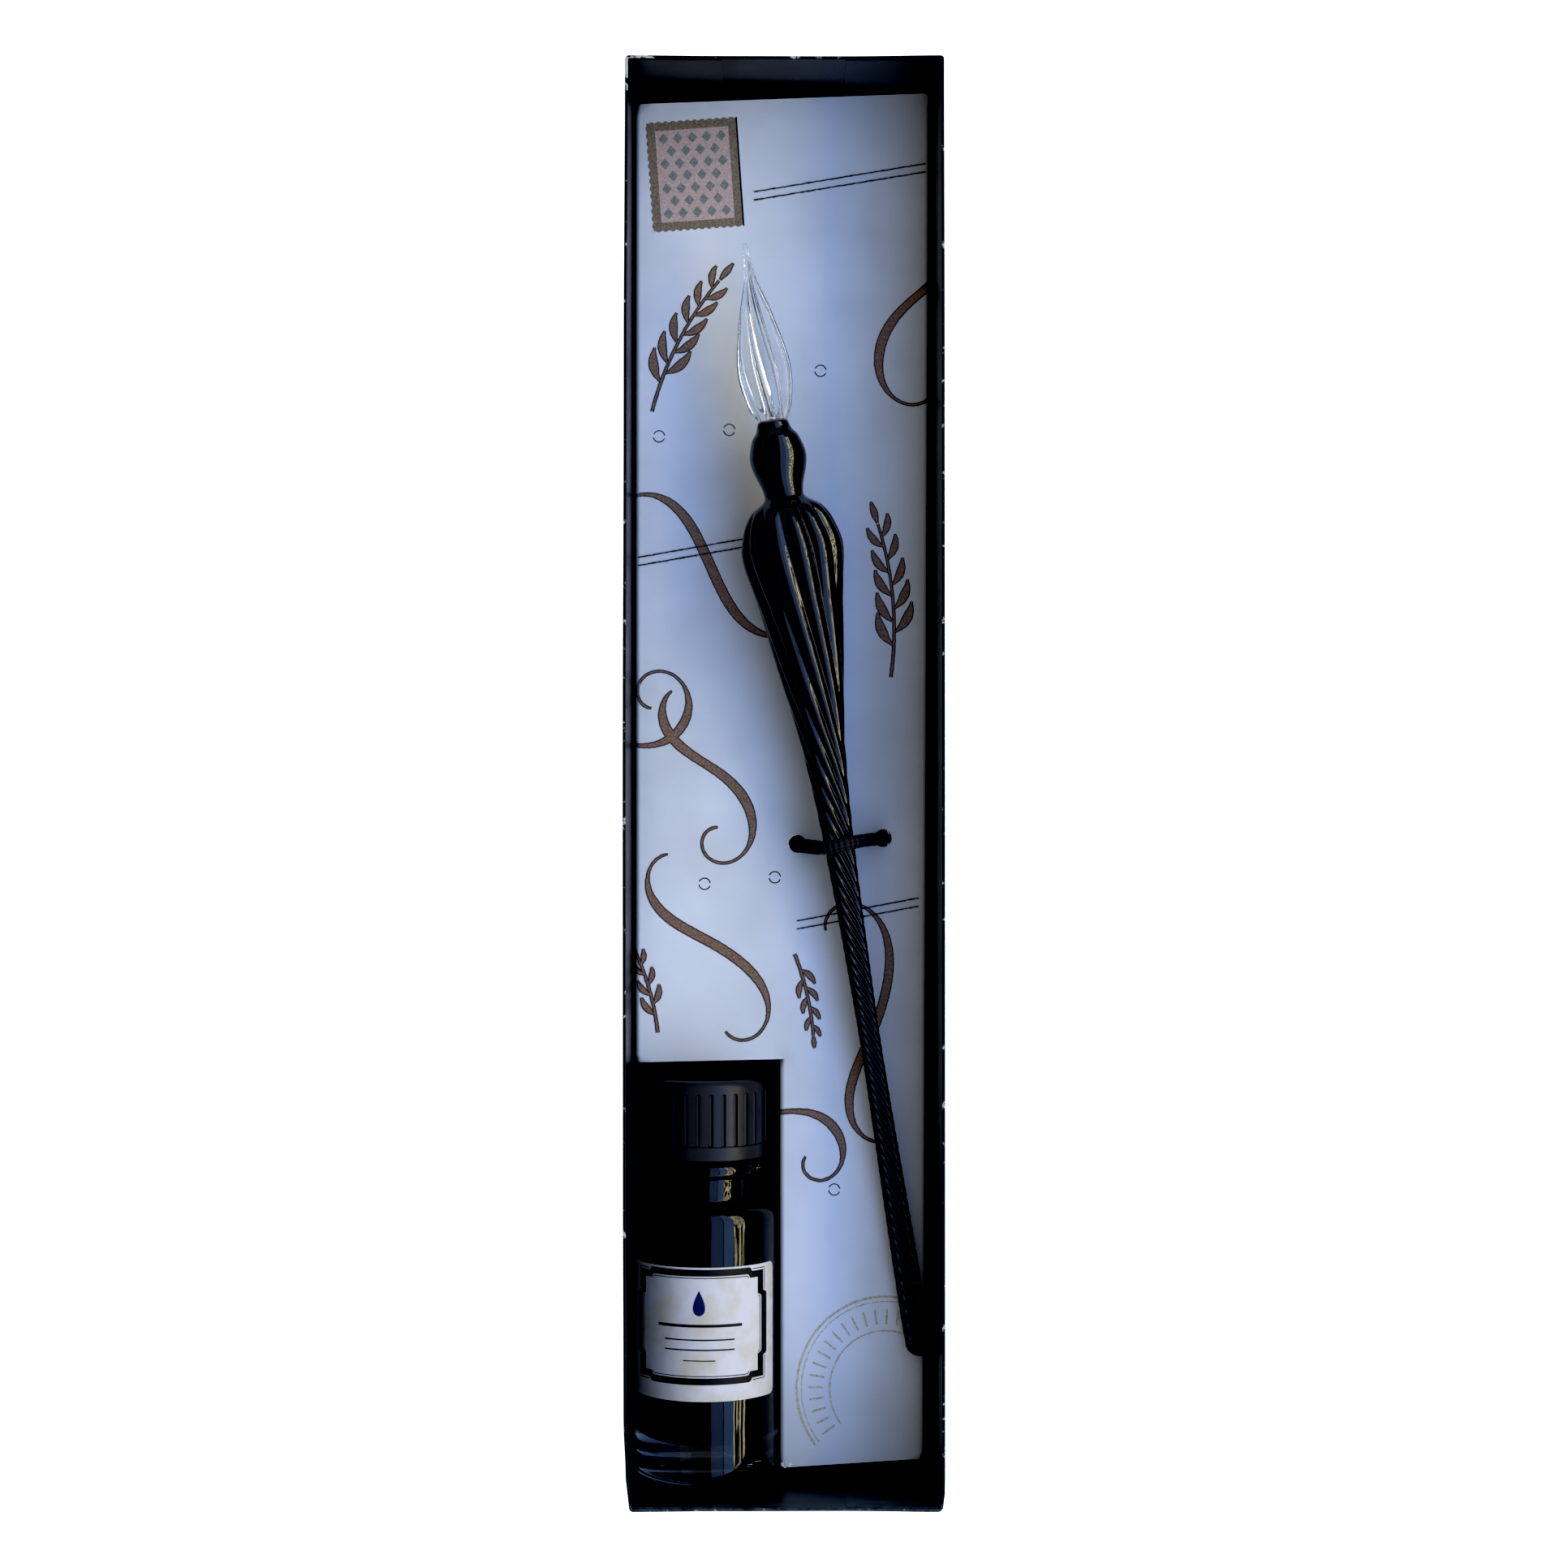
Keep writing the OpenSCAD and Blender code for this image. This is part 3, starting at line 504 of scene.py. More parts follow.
# The deck's near corner beside the bay is rubbed down to the pulp in two small spots
for u, v, size in ((bay_line - 0.1, NEAR_BAY + 0.5, 0.62), (bay_line + 0.75, NEAR_BAY + 0.42, 0.38)):
    patch = []
    for p, q in arc(0, 0, 1, 0, 345, 23):
        r = size * (0.75 + 0.5 * noise.noise(Vector((p * 1.5 + u, q * 1.5, v))))
        patch.append((u + r * p, v + r * q))
    lay(card_skin, *slab(patch, [tuple(range(len(patch)))], card_point, -0.02, 0.006), 1)
card = new_piece("printed_card", card_skin, [art_card, bare_pulp], crease=40)
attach(card, "insert")
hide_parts("card_platform")

# Print on the card
# Offset print in the manner of old paper: brown flourishes and leaf sprays with a
# dark edge, ruled double lines, a faded plain ring and a plain scalloped stamp
# shape. Each is a skin of ink, drawn thicker than real ink so that it shows.
BROWN, DARK, OLIVE, STONE, PINK, SAGE = range(6)  # the inks, in the order of the list below
INK_SKIN = 0.02
EDGE, RAGGED = 0.16, 0.06  # width of a stroke's dark edge, and how uneven it is
card_ink = ([], [], [])


def pen_line(line, grow=0.0, ragged=0.0):
    """Flat points and cells of an inked line of (u, v, width) rows."""
    ahead = np.gradient(line[:, :2], axis=0)
    ahead /= np.maximum(np.hypot(ahead[:, 0], ahead[:, 1]), 1e-9)[:, None]
    across = np.column_stack((-ahead[:, 1], ahead[:, 0]))
    half = line[:, 2] / 2 + grow
    rough = [ragged * noise.noise(Vector((u * 2.3, v * 2.3, side)))
             for side in (0, 5) for u, v in line[:, :2]]
    count = len(line)
    left = line[:, :2] + across * (half + rough[:count])[:, None]
    right = line[:, :2] - across * (half + rough[count:])[:, None]
    return np.vstack((left, right)), [(k, k + count, k + count + 1, k + 1) for k in range(count - 1)]


def print_line(line, place, lift, grow=0.0, ragged=0.0):
    """Lays one inked line on the card."""
    lay(card_ink, *slab(*pen_line(line, grow, ragged), card_point, lift - INK_SKIN, lift), place)


def scroll(length, first, last, power=1.0):
    """One swinging stroke whose curl runs from first to last, in turns per 100 mm."""
    t = np.linspace(0, 1, 130)
    ease = np.abs(2 * t - 1) ** power * np.sign(2 * t - 1)
    curl = (first + last) / 2 + (last - first) / 2 * ease
    turn = np.cumsum(curl) * length / 100 * 2 * math.pi / len(t)
    turn += math.pi / 2 - turn[65]
    path = np.column_stack((np.cumsum(np.cos(turn)), np.cumsum(np.sin(turn)))) * length / len(t)
    return path[::-1] - path[65]


def inked(path, widths, at, turn, lift):
    """Lays a brown stroke with a dark edge on the card, turned and moved to its place."""
    line = np.column_stack((*swung(path[:, 0], path[:, 1], turn, at), widths))
    print_line(line, DARK, lift, EDGE, RAGGED)
    print_line(line, BROWN, lift + 0.012, -0.01, RAGGED)


def flourish(path, u, v, turn, thick, lift):
    """A pen stroke that is thick where the pen comes down."""
    ahead = np.gradient(path, axis=0)
    ahead /= np.hypot(ahead[:, 0], ahead[:, 1])[:, None]
    width = 0.2 + thick * np.clip(-ahead[:, 1], 0, 1) ** 2.5
    width = np.convolve(np.pad(width, 3, "edge"), np.ones(7) / 7, "valid")
    ends = np.minimum(np.arange(len(path)), np.arange(len(path))[::-1]) / 5
    inked(path, width * np.clip(0.35 + ends, 0, 1), (u, v), turn, lift)


def spray(u, v, turn, length, leaves, bend, lift):
    """A stem with almond leaves to both sides, each one pressed stroke of the pen."""
    t = np.linspace(0, 1, 60)
    heading = math.pi / 2 + bend * t
    stem = np.column_stack((np.cumsum(np.cos(heading)), np.cumsum(np.sin(heading)))) * length / 60
    inked(stem, 0.3 - 0.12 * t, (u, v), turn, lift)
    x = np.linspace(0, 1, 24)
    for k in range(leaves + 1):
        at, side = 0.2 + 0.8 * k / leaves, (-1) ** k
        splay = 0 * x if k == leaves else side * (0.95 - 0.9 * x)
        way = math.pi / 2 + bend * at + splay
        size = length * (0.27 - 0.12 * at)
        leaf = np.column_stack((np.cumsum(np.cos(way)), np.cumsum(np.sin(way)))) * size / 24
        inked(leaf + stem[min(59, round(at * 59))], 0.12 + size * 0.2 * np.sin(math.pi * x) ** 1.3,
              (u, v), turn, lift + 0.004 * (k + 1) / leaves)


# Each lies a hair above the one before, so that crossings stay clean
spray(-20.2, 56.5, -14, 23, 11, -0.45, 0.014)
flourish(scroll(50, -6.0, 6.0, 1.5), -11.5, 34.0, 24, 1.15, 0.02)
flourish(scroll(40, -2.0, 7.0, 1.8), -15.5, 9.0, -34, 1.0, 0.026)
flourish(scroll(44, 7.5, -4.5, 1.4), -6.5, -1.5, 34, 1.15, 0.032)
spray(16.5, 16.0, -8, 24, 10, 0.45, 0.038)
flourish(scroll(44, 6.0, -5.0, 1.5), -9.5, -25.0, 58, 1.1, 0.044)
flourish(scroll(50, -4.5, 5.5, 1.8), 15.5, -33.0, -16, 1.0, 0.05)
flourish(scroll(32, 8.5, -3.5, 1.8), 7.6, -52.0, 42, 1.0, 0.056)
flourish(scroll(40, -6.5, 3.5, 1.6), 15.2, 68.0, -20, 1.1, 0.062)
spray(-19.2, -38.0, 6, 14, 7, 0.35, 0.068)
spray(1.6, -25.6, -158, 13, 7, -0.3, 0.074)

# Ruled double lines
RULE_WIDTH, RULE_GAP = 0.2, 1.25
for u, v, p, q in ((-4.6, 89.1, 21.6, 93.4), (2.0, -22.0, 21.0, -18.5), (-22.2, 33.4, -4.0, 36.6)):
    for side in (0, RULE_GAP):
        ends = (u, v + side, RULE_WIDTH), (p, q + side, RULE_WIDTH)
        print_line(np.array(stretch(*ends, 60) + [ends[1]]), DARK, 0.098, 0, 0.09)

# A faded plain ring with tick marks, half off the sheet's lower right corner
RING_AT, RING_R, RING_LIFT, RING_RAGGED = (16.0, -92.0), 14.0, 0.02, 0.12
TICKS, TICK_FROM, TICK_STEP, TICK_WIDTH = 20, 44, 9, 0.3
ring_near = NEAR_BAY + 1.6
for radius, width in ((RING_R, 0.34), (RING_R - 0.75, 0.16), (RING_R - 5.2, 0.22)):
    ring = np.array([(*p, width) for p in arc(*RING_AT, radius, 38, 218, 120)])
    ring = ring[(ring[:, 1] > ring_near) & (ring[:, 0] > bay_line) & (ring[:, 0] < right_line)]
    print_line(ring, OLIVE, RING_LIFT, 0, RING_RAGGED)
for k in range(TICKS):
    angle = math.radians(TICK_FROM + TICK_STEP * k)
    tick = np.array([(RING_AT[0] + r * math.cos(angle), RING_AT[1] + r * math.sin(angle), TICK_WIDTH)
                     for r in np.linspace(RING_R - 4.2, RING_R - 1.9, 5)])
    if tick[:, 0].min() > bay_line and tick[:, 0].max() < right_line and tick[:, 1].min() > ring_near:
        print_line(tick, OLIVE, RING_LIFT, 0, RING_RAGGED)

# A plain scalloped stamp shape with a lattice of lozenges, in the far left corner
STAMP_AT, STAMP_HALF, STAMP_TURN = (-13.6, 93.0), (7.2, 8.6), 4
PANEL, LOZENGE, LATTICE = (5.6, 7.0), (0.75, 0.85), (2.2, 1.9)
SCALLOP, SCALLOP_PITCH = 0.42, 1.134


def stamp_point(u, v):
    """A stamp's own point turned and moved to its place on the sheet."""
    return swung(u, v, STAMP_TURN, STAMP_AT)


def boxed(half_u, half_v):
    """The corners of a rectangle round the stamp's middle."""
    return [stamp_point(u * half_u, v * half_v) for u, v in ((-1, -1), (1, -1), (1, 1), (-1, 1))]


scallops = []
for along, out, run, side in ((0, 1, 1, -1), (1, 0, 1, 1), (0, 1, -1, 1), (1, 0, -1, -1)):
    count = round(2 * STAMP_HALF[along] / SCALLOP_PITCH)
    for n in range(count):
        middle = run * (-1 + (2 * n + 1) / count) * STAMP_HALF[along]
        for p, q in arc(0, 0, SCALLOP, 150, 30, 4):
            spot = [0, 0]
            spot[along] = middle + run * p
            spot[out] = side * (STAMP_HALF[out] - q)
            scallops.append(stamp_point(*spot))
for ring, place, lift in ((scallops, STONE, 0.02), (boxed(*PANEL), PINK, 0.03)):
    lay(card_ink, *slab(ring, [tuple(range(len(ring)))], card_point, lift - INK_SKIN, lift), place)
for row in range(7):
    for column in range(5 - row % 2):
        u, v = LATTICE[0] * (column - 2 + row % 2 / 2), LATTICE[1] * (row - 3)
        lozenge = [stamp_point(u + p * LOZENGE[0], v + q * LOZENGE[1])
                   for p, q in ((-1, 0), (0, -1), (1, 0), (0, 1))]
        lay(card_ink, *slab(lozenge, [(0, 1, 2, 3)], card_point, 0.02, 0.042), SAGE)


def print_ink(name, code, speck, speckle):
    """Matt offset ink: its dots, drawn coarser than real ones, let a second colour through."""
    made, spot = material(name)
    dots = add(made, "ShaderNodeTexNoise", {
        "Vector": spot, "Scale": 1000 / 0.3, "Detail": 3.0, "Roughness": 0.7})
    tone = add(made, "ShaderNodeValToRGB", {"Fac": dots}, [(0.5 - speckle, speck), (0.5 + speckle, code)])
    shader = add(made, "ShaderNodeBsdfPrincipled", {
        "Base Color": tone, "Roughness": 0.55, "IOR": 1.45})
    add(made, "ShaderNodeOutputMaterial", {"Surface": shader})
    return made


inks = [print_ink("brown_offset_ink", "#9C8371", "#75604F", 0.12),
        print_ink("black_offset_ink", "#2E2725", "#51463F", 0.1),
        print_ink("faded_olive_ink", "#B4AD8E", "#CFCBB8", 0.08),
        print_ink("stone_brown_ink", "#9A8D79", "#756A5B", 0.12),
        print_ink("faded_pink_ink", "#CDB8AE", "#B3A29C", 0.12),
        print_ink("sage_grey_ink", "#75807B", "#979A92", 0.1)]
card_print = new_piece("card_print", card_ink, inks, crease=60)
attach(card_print, "insert")

# Elastic cord
# Round braided elastic in black polyester yarn over rubber. It comes up through
# two holes, pulls the pen down and is knotted under the card.
CORD_R, KNOT_R = 1.0, 0.9  # the cord is stretched a little thinner in its knot
DROP, BEND = 3.8, 1.5  # how far below the card its hidden run lies, and how round it turns there
WRAP_R, CROSS_H = 3.52, 5.92  # its curve over the pen, and how high above the card that is centred
BRAID, YARNS = 0.72, 10
YARN_OUT, YARN_ROUGH = 0.09, 0.03  # how far a yarn stands out, and how uneven it is
PULL = 0.72  # how far the twisted shaft has pulled the left leg towards the tail


def braided(path, radii, closed=True, sides=40):
    """Skin of a braided cord along a path: the yarns stand out, and the gaps are place 1."""
    path = np.asarray(path, float)
    if closed:
        ahead = np.roll(path, -1, axis=0) - np.roll(path, 1, axis=0)
        run = np.cumsum(np.linalg.norm(path - np.roll(path, 1, axis=0), axis=1))
    else:
        ahead = np.gradient(path, axis=0)
        run = np.concatenate(([0], np.cumsum(np.linalg.norm(np.diff(path, axis=0), axis=1))))
    ahead /= np.linalg.norm(ahead, axis=1)[:, None]
    up = np.array((0.0, 1.0, 0.0)) if abs(ahead[0][1]) < 0.9 else np.array((0.0, 0.0, 1.0))
    points, heights = [], []
    for spot, way, radius, at in zip(path, ahead, radii, run):
        up = up - way * np.dot(up, way)
        up /= np.linalg.norm(up)
        side = np.cross(way, up)
        for c in range(sides):
            a = 2 * math.pi * c / sides
            yarn = 0.5 * (math.cos(YARNS * a) + math.cos(2 * math.pi * at / BRAID))
            rough = noise.noise(Vector(spot) * 1.7 + Vector((math.cos(a), math.sin(a), 0)) * 2)
            r = radius + YARN_OUT * yarn + YARN_ROUGH * (rough - 1)
            points.append(spot + r * (up * math.cos(a) + side * math.sin(a)))
            heights.append(yarn)
    faces = ring_faces(len(path), sides, closed)
    return points, faces, [int(sum(heights[k] for k in face[:4]) < -0.6) for face in faces]


def even(path, step):
    """The same path with points an even step apart."""
    path = np.asarray(path, float)
    run = np.concatenate(([0], np.cumsum(np.linalg.norm(np.diff(path, axis=0), axis=1))))
    marks = np.linspace(0, run[-1], max(2, round(run[-1] / step)))
    return np.column_stack([np.interp(marks, run, path[:, k]) for k in range(3)])


def leg(reach):
    """Angle above the card of the cord's leg that starts at a hole."""
    return math.atan2(CROSS_H, reach) + math.asin(WRAP_R / math.hypot(reach, CROSS_H))


def below(reach):
    """Half of the hidden run below the card, from its middle to the hole."""
    angle = leg(reach)
    down = (DROP - BEND * (1 + math.cos(angle))) / math.sin(angle)
    x = reach + down * math.cos(angle) - BEND * math.sin(angle)
    turn = arc(x, BEND - DROP, BEND, -90, 90 - math.degrees(angle), 10)
    return [(0.3, -DROP), (x / 2, -DROP)] + turn + [(reach, 0)]


left, right = leg(HOLE_LEFT), leg(HOLE_RIGHT)
wrap = [(WRAP_R * math.cos(a), CROSS_H + WRAP_R * math.sin(a))
        for a in np.linspace(math.pi / 2 + left, math.pi / 2 - right, 30)]
route = [(-x, z) for x, z in below(HOLE_LEFT)] + wrap + below(HOLE_RIGHT)[::-1]
path = even([(x, 0, z) for x, z in route + route[:1]], 0.12)[:-1]
shown = np.clip((path[:, 2] + 1) / 2, 0, 1)
path[:, 1] -= PULL * shown * np.exp(-((path[:, 0] + 2.2) / 3.8) ** 2)

# It is fuller in its slack left leg than in its tight right one
swell = CORD_R * (1.0 + 0.08 * shown * (path[:, 0] < -3) - 0.04 * shown * (path[:, 0] > 3))
swell = np.convolve(np.concatenate((swell[-6:], swell, swell[:6])), np.ones(13) / 13, "valid")
cord = ([], [], [])
lay(cord, *braided(path, swell))

# The knot under the card: three turns of the cord's ends, with two short tails
KNOT_TURN_R, KNOT_PITCH = 1.1, 1.5 * CORD_R
knot = [(KNOT_PITCH * (k / 24 - 1.5), y, z)
        for k, (y, z) in enumerate(arc(0, -DROP, KNOT_TURN_R, 0, 1080, 72))]
tails = [[(side * (1.0 + 0.1 * k), side * -0.9 * k, -DROP + 0.35 * k - 0.05 * k * k) for k in range(6)]
         for side in (-1, 1)]
for loose in [knot] + tails:
    loose = even(loose, 0.2)
    lay(cord, *braided(loose, np.full(len(loose), KNOT_R), False))
placed = [(*swung(x, y, ELASTIC_TURN, crossing), z + DECK - CARD / 2) for x, y, z in cord[0]]

# Black polyester yarn: matt, with a fine fuzz that catches a little light
yarn, where = material("braided_polyester_yarn")
thread = add(yarn, "ShaderNodeTexNoise", {"Vector": where, "Scale": 1000 / 0.16, "Detail": 3.0})
dye_and_painted_shade = add(yarn, "ShaderNodeValToRGB", {"Fac": thread}, [(0.0, "#141417"), (1.0, "#35353B")])
fuzz = add(yarn, "ShaderNodeBump", {"Height": thread, "Strength": 0.6, "Distance": 0.05 * MM})
shader = add(yarn, "ShaderNodeBsdfPrincipled", {
    "Base Color": dye_and_painted_shade, "Roughness": 0.75, "Sheen Weight": 0.08, "Sheen Roughness": 0.4, "Normal": fuzz})
add(yarn, "ShaderNodeOutputMaterial", {"Surface": shader})
# The gaps of the braid lie in their own shade, which is painted in: they are the same yarn, darker
gap_yarn, where = material("shaded_polyester_yarn")
thread = add(gap_yarn, "ShaderNodeTexNoise", {"Vector": where, "Scale": 1000 / 0.16, "Detail": 3.0})
dye_and_painted_shade = add(gap_yarn, "ShaderNodeValToRGB", {"Fac": thread}, [(0.0, "#030304"), (1.0, "#101013")])
shader = add(gap_yarn, "ShaderNodeBsdfPrincipled", {"Base Color": dye_and_painted_shade, "Roughness": 0.9})
add(gap_yarn, "ShaderNodeOutputMaterial", {"Surface": shader})
elastic = new_piece("braided_elastic", (placed, *cord[1:]), [yarn, gap_yarn], crease=80)
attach(elastic, "insert")
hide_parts("elastic_loop")

# Glass nib
# A bundle of clear borosilicate rods, melted together, twisted a little and drawn
# to a point in the flame. Its valleys hold the ink. A stem runs on into the handle.
PEN_LENGTH, NIB_LENGTH = 169.3, 26.5
BULB_AT, TAIL_AT = 45.9, 162.3
BULB_D, TAIL_D = 15.5, 4.0
PEN_GAP = 0.1  # what the pen's outline keeps off the card
pen_slope = math.asin((BULB_D - TAIL_D) / 2 / (TAIL_AT - BULB_AT))
tip_z = DECK + PEN_GAP + BULB_D / 2 * math.cos(pen_slope) + BULB_AT * math.sin(pen_slope)
# Across the pen to its lower side, across it to the side, and along it from the tip
turn_sin, turn_cos = math.sin(math.radians(PEN_TURN)), math.cos(math.radians(PEN_TURN))
slope_sin, slope_cos = math.sin(pen_slope), math.cos(pen_slope)
pen_axes = np.array([
    (-slope_sin * turn_sin, slope_sin * turn_cos, -slope_cos),
    (turn_cos, turn_sin, 0),
    (slope_cos * turn_sin, -slope_cos * turn_cos, -slope_sin)])


def outline_radius(stations, s):
    """Radius at distance s from the tip, on a smooth curve that never overshoots."""
    rises = [(q[1] - p[1]) / (q[0] - p[0]) for p, q in zip(stations, stations[1:])]
    leans = [0 if a * b <= 0 else 2 * a * b / (a + b) for a, b in zip(rises, rises[1:])]
    leans = rises[:1] + leans + rises[-1:]
    k = 0
    while k < len(stations) - 2 and s > stations[k + 1][0]:
        k += 1
    (s0, a), (s1, b) = stations[k], stations[k + 1]
    t = (s - s0) / (s1 - s0)
    return (a * (1 + 2 * t) * (1 - t) ** 2 + b * t * t * (3 - 2 * t)
            + (s1 - s0) * (leans[k] * t * (1 - t) ** 2 - leans[k + 1] * t * t * (1 - t)))


def lobed(rings, lobes, shares, valley):
    """Skin of melted rods from rings of (distance, radius, turn in degrees, depth of valleys).

    Each lobe has points at the given shares of its width, and its valley lies at a half."""
    points = []
    for s, radius, turn, depth in rings:
        for lobe in range(lobes):
            for share in shares:
                spin = 2 * math.pi * (lobe + share) / lobes + math.radians(turn)
                r = radius * (1 - depth * valley(share - 0.5, s))
                points.append(np.array((r * math.cos(spin), r * math.sin(spin), s)) @ pen_axes
                              + (*TIP, tip_z))
    return points, ring_faces(len(rings), lobes * len(shares))


def cusp(off, s):
    """The valley between two round rods, which is sharp at its floor."""
    return 1 - abs(math.sin(math.pi * off))


NIB_STATIONS = [(0, 0.3), (4.85, 0.86), (11.06, 2.58), (19.4, 4.03), (24.1, 3.35), (26.5, 2.35)]
NIB_GROOVES, GROOVE_DEPTH, NIB_TWIST = 10, 0.24, 30
NIB_POINT_R, STEM_R, STEM = 0.33, 1.5, 5.0
nib_rings = [(0.30 - 0.30 * math.cos(a), 0.32 * math.sin(a) + 0.01, 0, 0) for a in np.linspace(0, 1.4, 7)]
for s in np.linspace(0.34, NIB_LENGTH, 130):
    radius = max(NIB_POINT_R, outline_radius(NIB_STATIONS, s))
    depth = GROOVE_DEPTH * min(1, 0.1 + s / 4.5, (NIB_LENGTH + 0.7 - s) / 2.6)
    nib_rings.append((s, radius, -NIB_TWIST * s / NIB_LENGTH, depth))
nib_rings += [(NIB_LENGTH + d, STEM_R - less, -NIB_TWIST, 0)
              for d, less in ((0, 0), (0.3, 0), (2.5, 0), (STEM - 0.2, 0), (STEM, 0.3))]

# Clear lampworked borosilicate: fire-polished, so sharp highlights and no haze
clear_glass, where = material("clear_borosilicate_glass")
draw = add(clear_glass, "ShaderNodeTexNoise", {"Vector": where, "Scale": 1000 / 4, "Detail": 2.0})
flow = add(clear_glass, "ShaderNodeBump", {"Height": draw, "Strength": 0.15, "Distance": 0.1 * MM})
shader = add(clear_glass, "ShaderNodeBsdfPrincipled", {
    "Base Color": "#FBFDFD", "Roughness": 0.0, "IOR": 1.47, "Transmission Weight": 1.0, "Normal": flow})
add(clear_glass, "ShaderNodeOutputMaterial", {"Surface": shader})
nib = new_piece("grooved_nib", lobed(nib_rings, NIB_GROOVES, [k / 12 for k in range(12)], cusp),
                [clear_glass], crease=70)
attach(nib, "pen")
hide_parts("pen_nib")

# Glass handle
# Near-black glass, ribbed while soft and then twisted as it was pulled out into a
# thin shaft. The front is necked in twice, and the nib's stem is melted into it.
SHAFT_AT, SLIM_AT, WAIST_AT, BEAD_AT = 89.4, 121.4, 37.8, 32.1
COLLAR_D, BEAD_D, WAIST_D, SHAFT_D, SLIM_D = 4.5, 8.5, 5.8, 4.7, 3.2
RIBS, RIB_DEPTH, STRAND_DEPTH = 12, 0.11, 0.15
RIB_START, RIB_GROW, RIB_FADE = 0.3, 3.4, 3  # from the waist, to full depth, and at the tail
# The ribs turn to strands from so far past the bulb to so far before the slimmest place
ROPE_FROM, ROPE_BY = 18, 12
TWIST = 54  # a ring turns by this many degrees a millimetre, over its radius squared
VALLEY = 0.09  # how far the fire has rounded the creases
TAIL_ROUND = 0.95  # radius that rounds the tail's end off


def between(a, b, share):
    """The value at a share of the way from a to b."""
    return a + (b - a) * share


def eased(share):
    """A share from 0 to 1 that sets off and arrives gently."""
    return share * share * (3 - 2 * share)


HANDLE_STATIONS = [(s, d / 2) for s, d in (
    (NIB_LENGTH, COLLAR_D),
    (between(NIB_LENGTH, BEAD_AT, 0.23), between(COLLAR_D, BEAD_D, 0.18)),
    (between(NIB_LENGTH, BEAD_AT, 0.48), between(COLLAR_D, BEAD_D, 0.66)),
    (BEAD_AT, BEAD_D), (WAIST_AT, WAIST_D),
    (between(WAIST_AT, BULB_AT, 0.26), between(WAIST_D, BULB_D, 0.53)),
    (between(WAIST_AT, BULB_AT, 0.51), between(WAIST_D, BULB_D, 0.79)),
    (BULB_AT, BULB_D),
    (between(BULB_AT, SHAFT_AT, 0.21), between(SHAFT_D, BULB_D, 0.73)),
    (between(BULB_AT, SHAFT_AT, 0.43), between(SHAFT_D, BULB_D, 0.47)),
    (between(BULB_AT, SHAFT_AT, 0.69), between(SHAFT_D, BULB_D, 0.17)),
    (SHAFT_AT, SHAFT_D),
    (between(SHAFT_AT, SLIM_AT, 0.55), between(SLIM_D, SHAFT_D, 0.3)),
    (SLIM_AT, SLIM_D), (TAIL_AT, TAIL_D),
    (between(TAIL_AT, PEN_LENGTH, 0.75), between(SLIM_D, TAIL_D, 0.7)),
    (PEN_LENGTH, SLIM_D / 2))]


def stranded(s):
    """From 0 on the fluted bulb to 1 on the shaft, which is like a rope."""
    first, full = BULB_AT + ROPE_FROM, SLIM_AT - ROPE_BY
    return eased(min(1, max(0, (s - first) / (full - first))))


def rib_valley(off, s):
    """Sharp creases between the bulb's round petals, wide ones between the shaft's strands."""
    crease = 1 - math.sqrt(math.sin(math.pi * off) ** 2 + VALLEY ** 2) + VALLEY / 2
    return between(crease, math.cos(math.pi * off) ** 2.4, stranded(s))


handle_rings = [(NIB_LENGTH + d, r, 0, 0) for d, r in (
    (STEM, STEM_R + 0.01), (0.15, STEM_R + 0.01), (0.02, STEM_R + 0.15), (0.02, COLLAR_D / 2 - 0.35),
    (0.08, COLLAR_D / 2 - 0.12))]
turn, last = 0.0, NIB_LENGTH
for s in np.arange(NIB_LENGTH + 0.25, PEN_LENGTH - 0.05, 0.36):
    radius = outline_radius(HANDLE_STATIONS, s)
    turn -= TWIST / radius ** 2 * (s - last)
    last = s
    ribbed = eased(min(1, max(0, (s - WAIST_AT - RIB_START) / RIB_GROW), (PEN_LENGTH + 0.5 - s) / RIB_FADE))
    wobble = 1 + 0.006 * noise.noise(Vector((s * 0.35, 0, 9)))
    end = math.sqrt(max(0.0, 1 - max(0.0, (s - PEN_LENGTH + 0.9) / TAIL_ROUND) ** 2))
    depth = between(RIB_DEPTH, STRAND_DEPTH, stranded(s)) * ribbed
    handle_rings.append((s, radius * wobble * end, turn, depth))
handle_rings.append((PEN_LENGTH, 0.12, turn, 0))
rib_shares = [0, 0.12, 0.22, 0.29, 0.34, 0.38, 0.41, 0.44, 0.47]
rib_shares += [0.5] + [1 - share for share in reversed(rib_shares[1:])]
points, faces = lobed(handle_rings, RIBS, rib_shares, rib_valley)

# Black lampworked lead glass: a deep liquid gloss, brighter than that of window
# glass, and softly uneven from the flame
dark_glass, where = material("black_lampworked_glass")
pull = add(dark_glass, "ShaderNodeTexNoise", {"Vector": where, "Scale": 1000 / 5, "Detail": 2.0})
flow = add(dark_glass, "ShaderNodeBump", {"Height": pull, "Strength": 0.2, "Distance": 0.12 * MM})
smear = add(dark_glass, "ShaderNodeMapRange", {
    "Value": pull, "From Min": 0.3, "From Max": 0.7, "To Min": 0.02, "To Max": 0.07})
shader = add(dark_glass, "ShaderNodeBsdfPrincipled", {
    "Base Color": "#040508", "Roughness": smear, "IOR": 1.62, "Normal": flow})
add(dark_glass, "ShaderNodeOutputMaterial", {"Surface": shader})

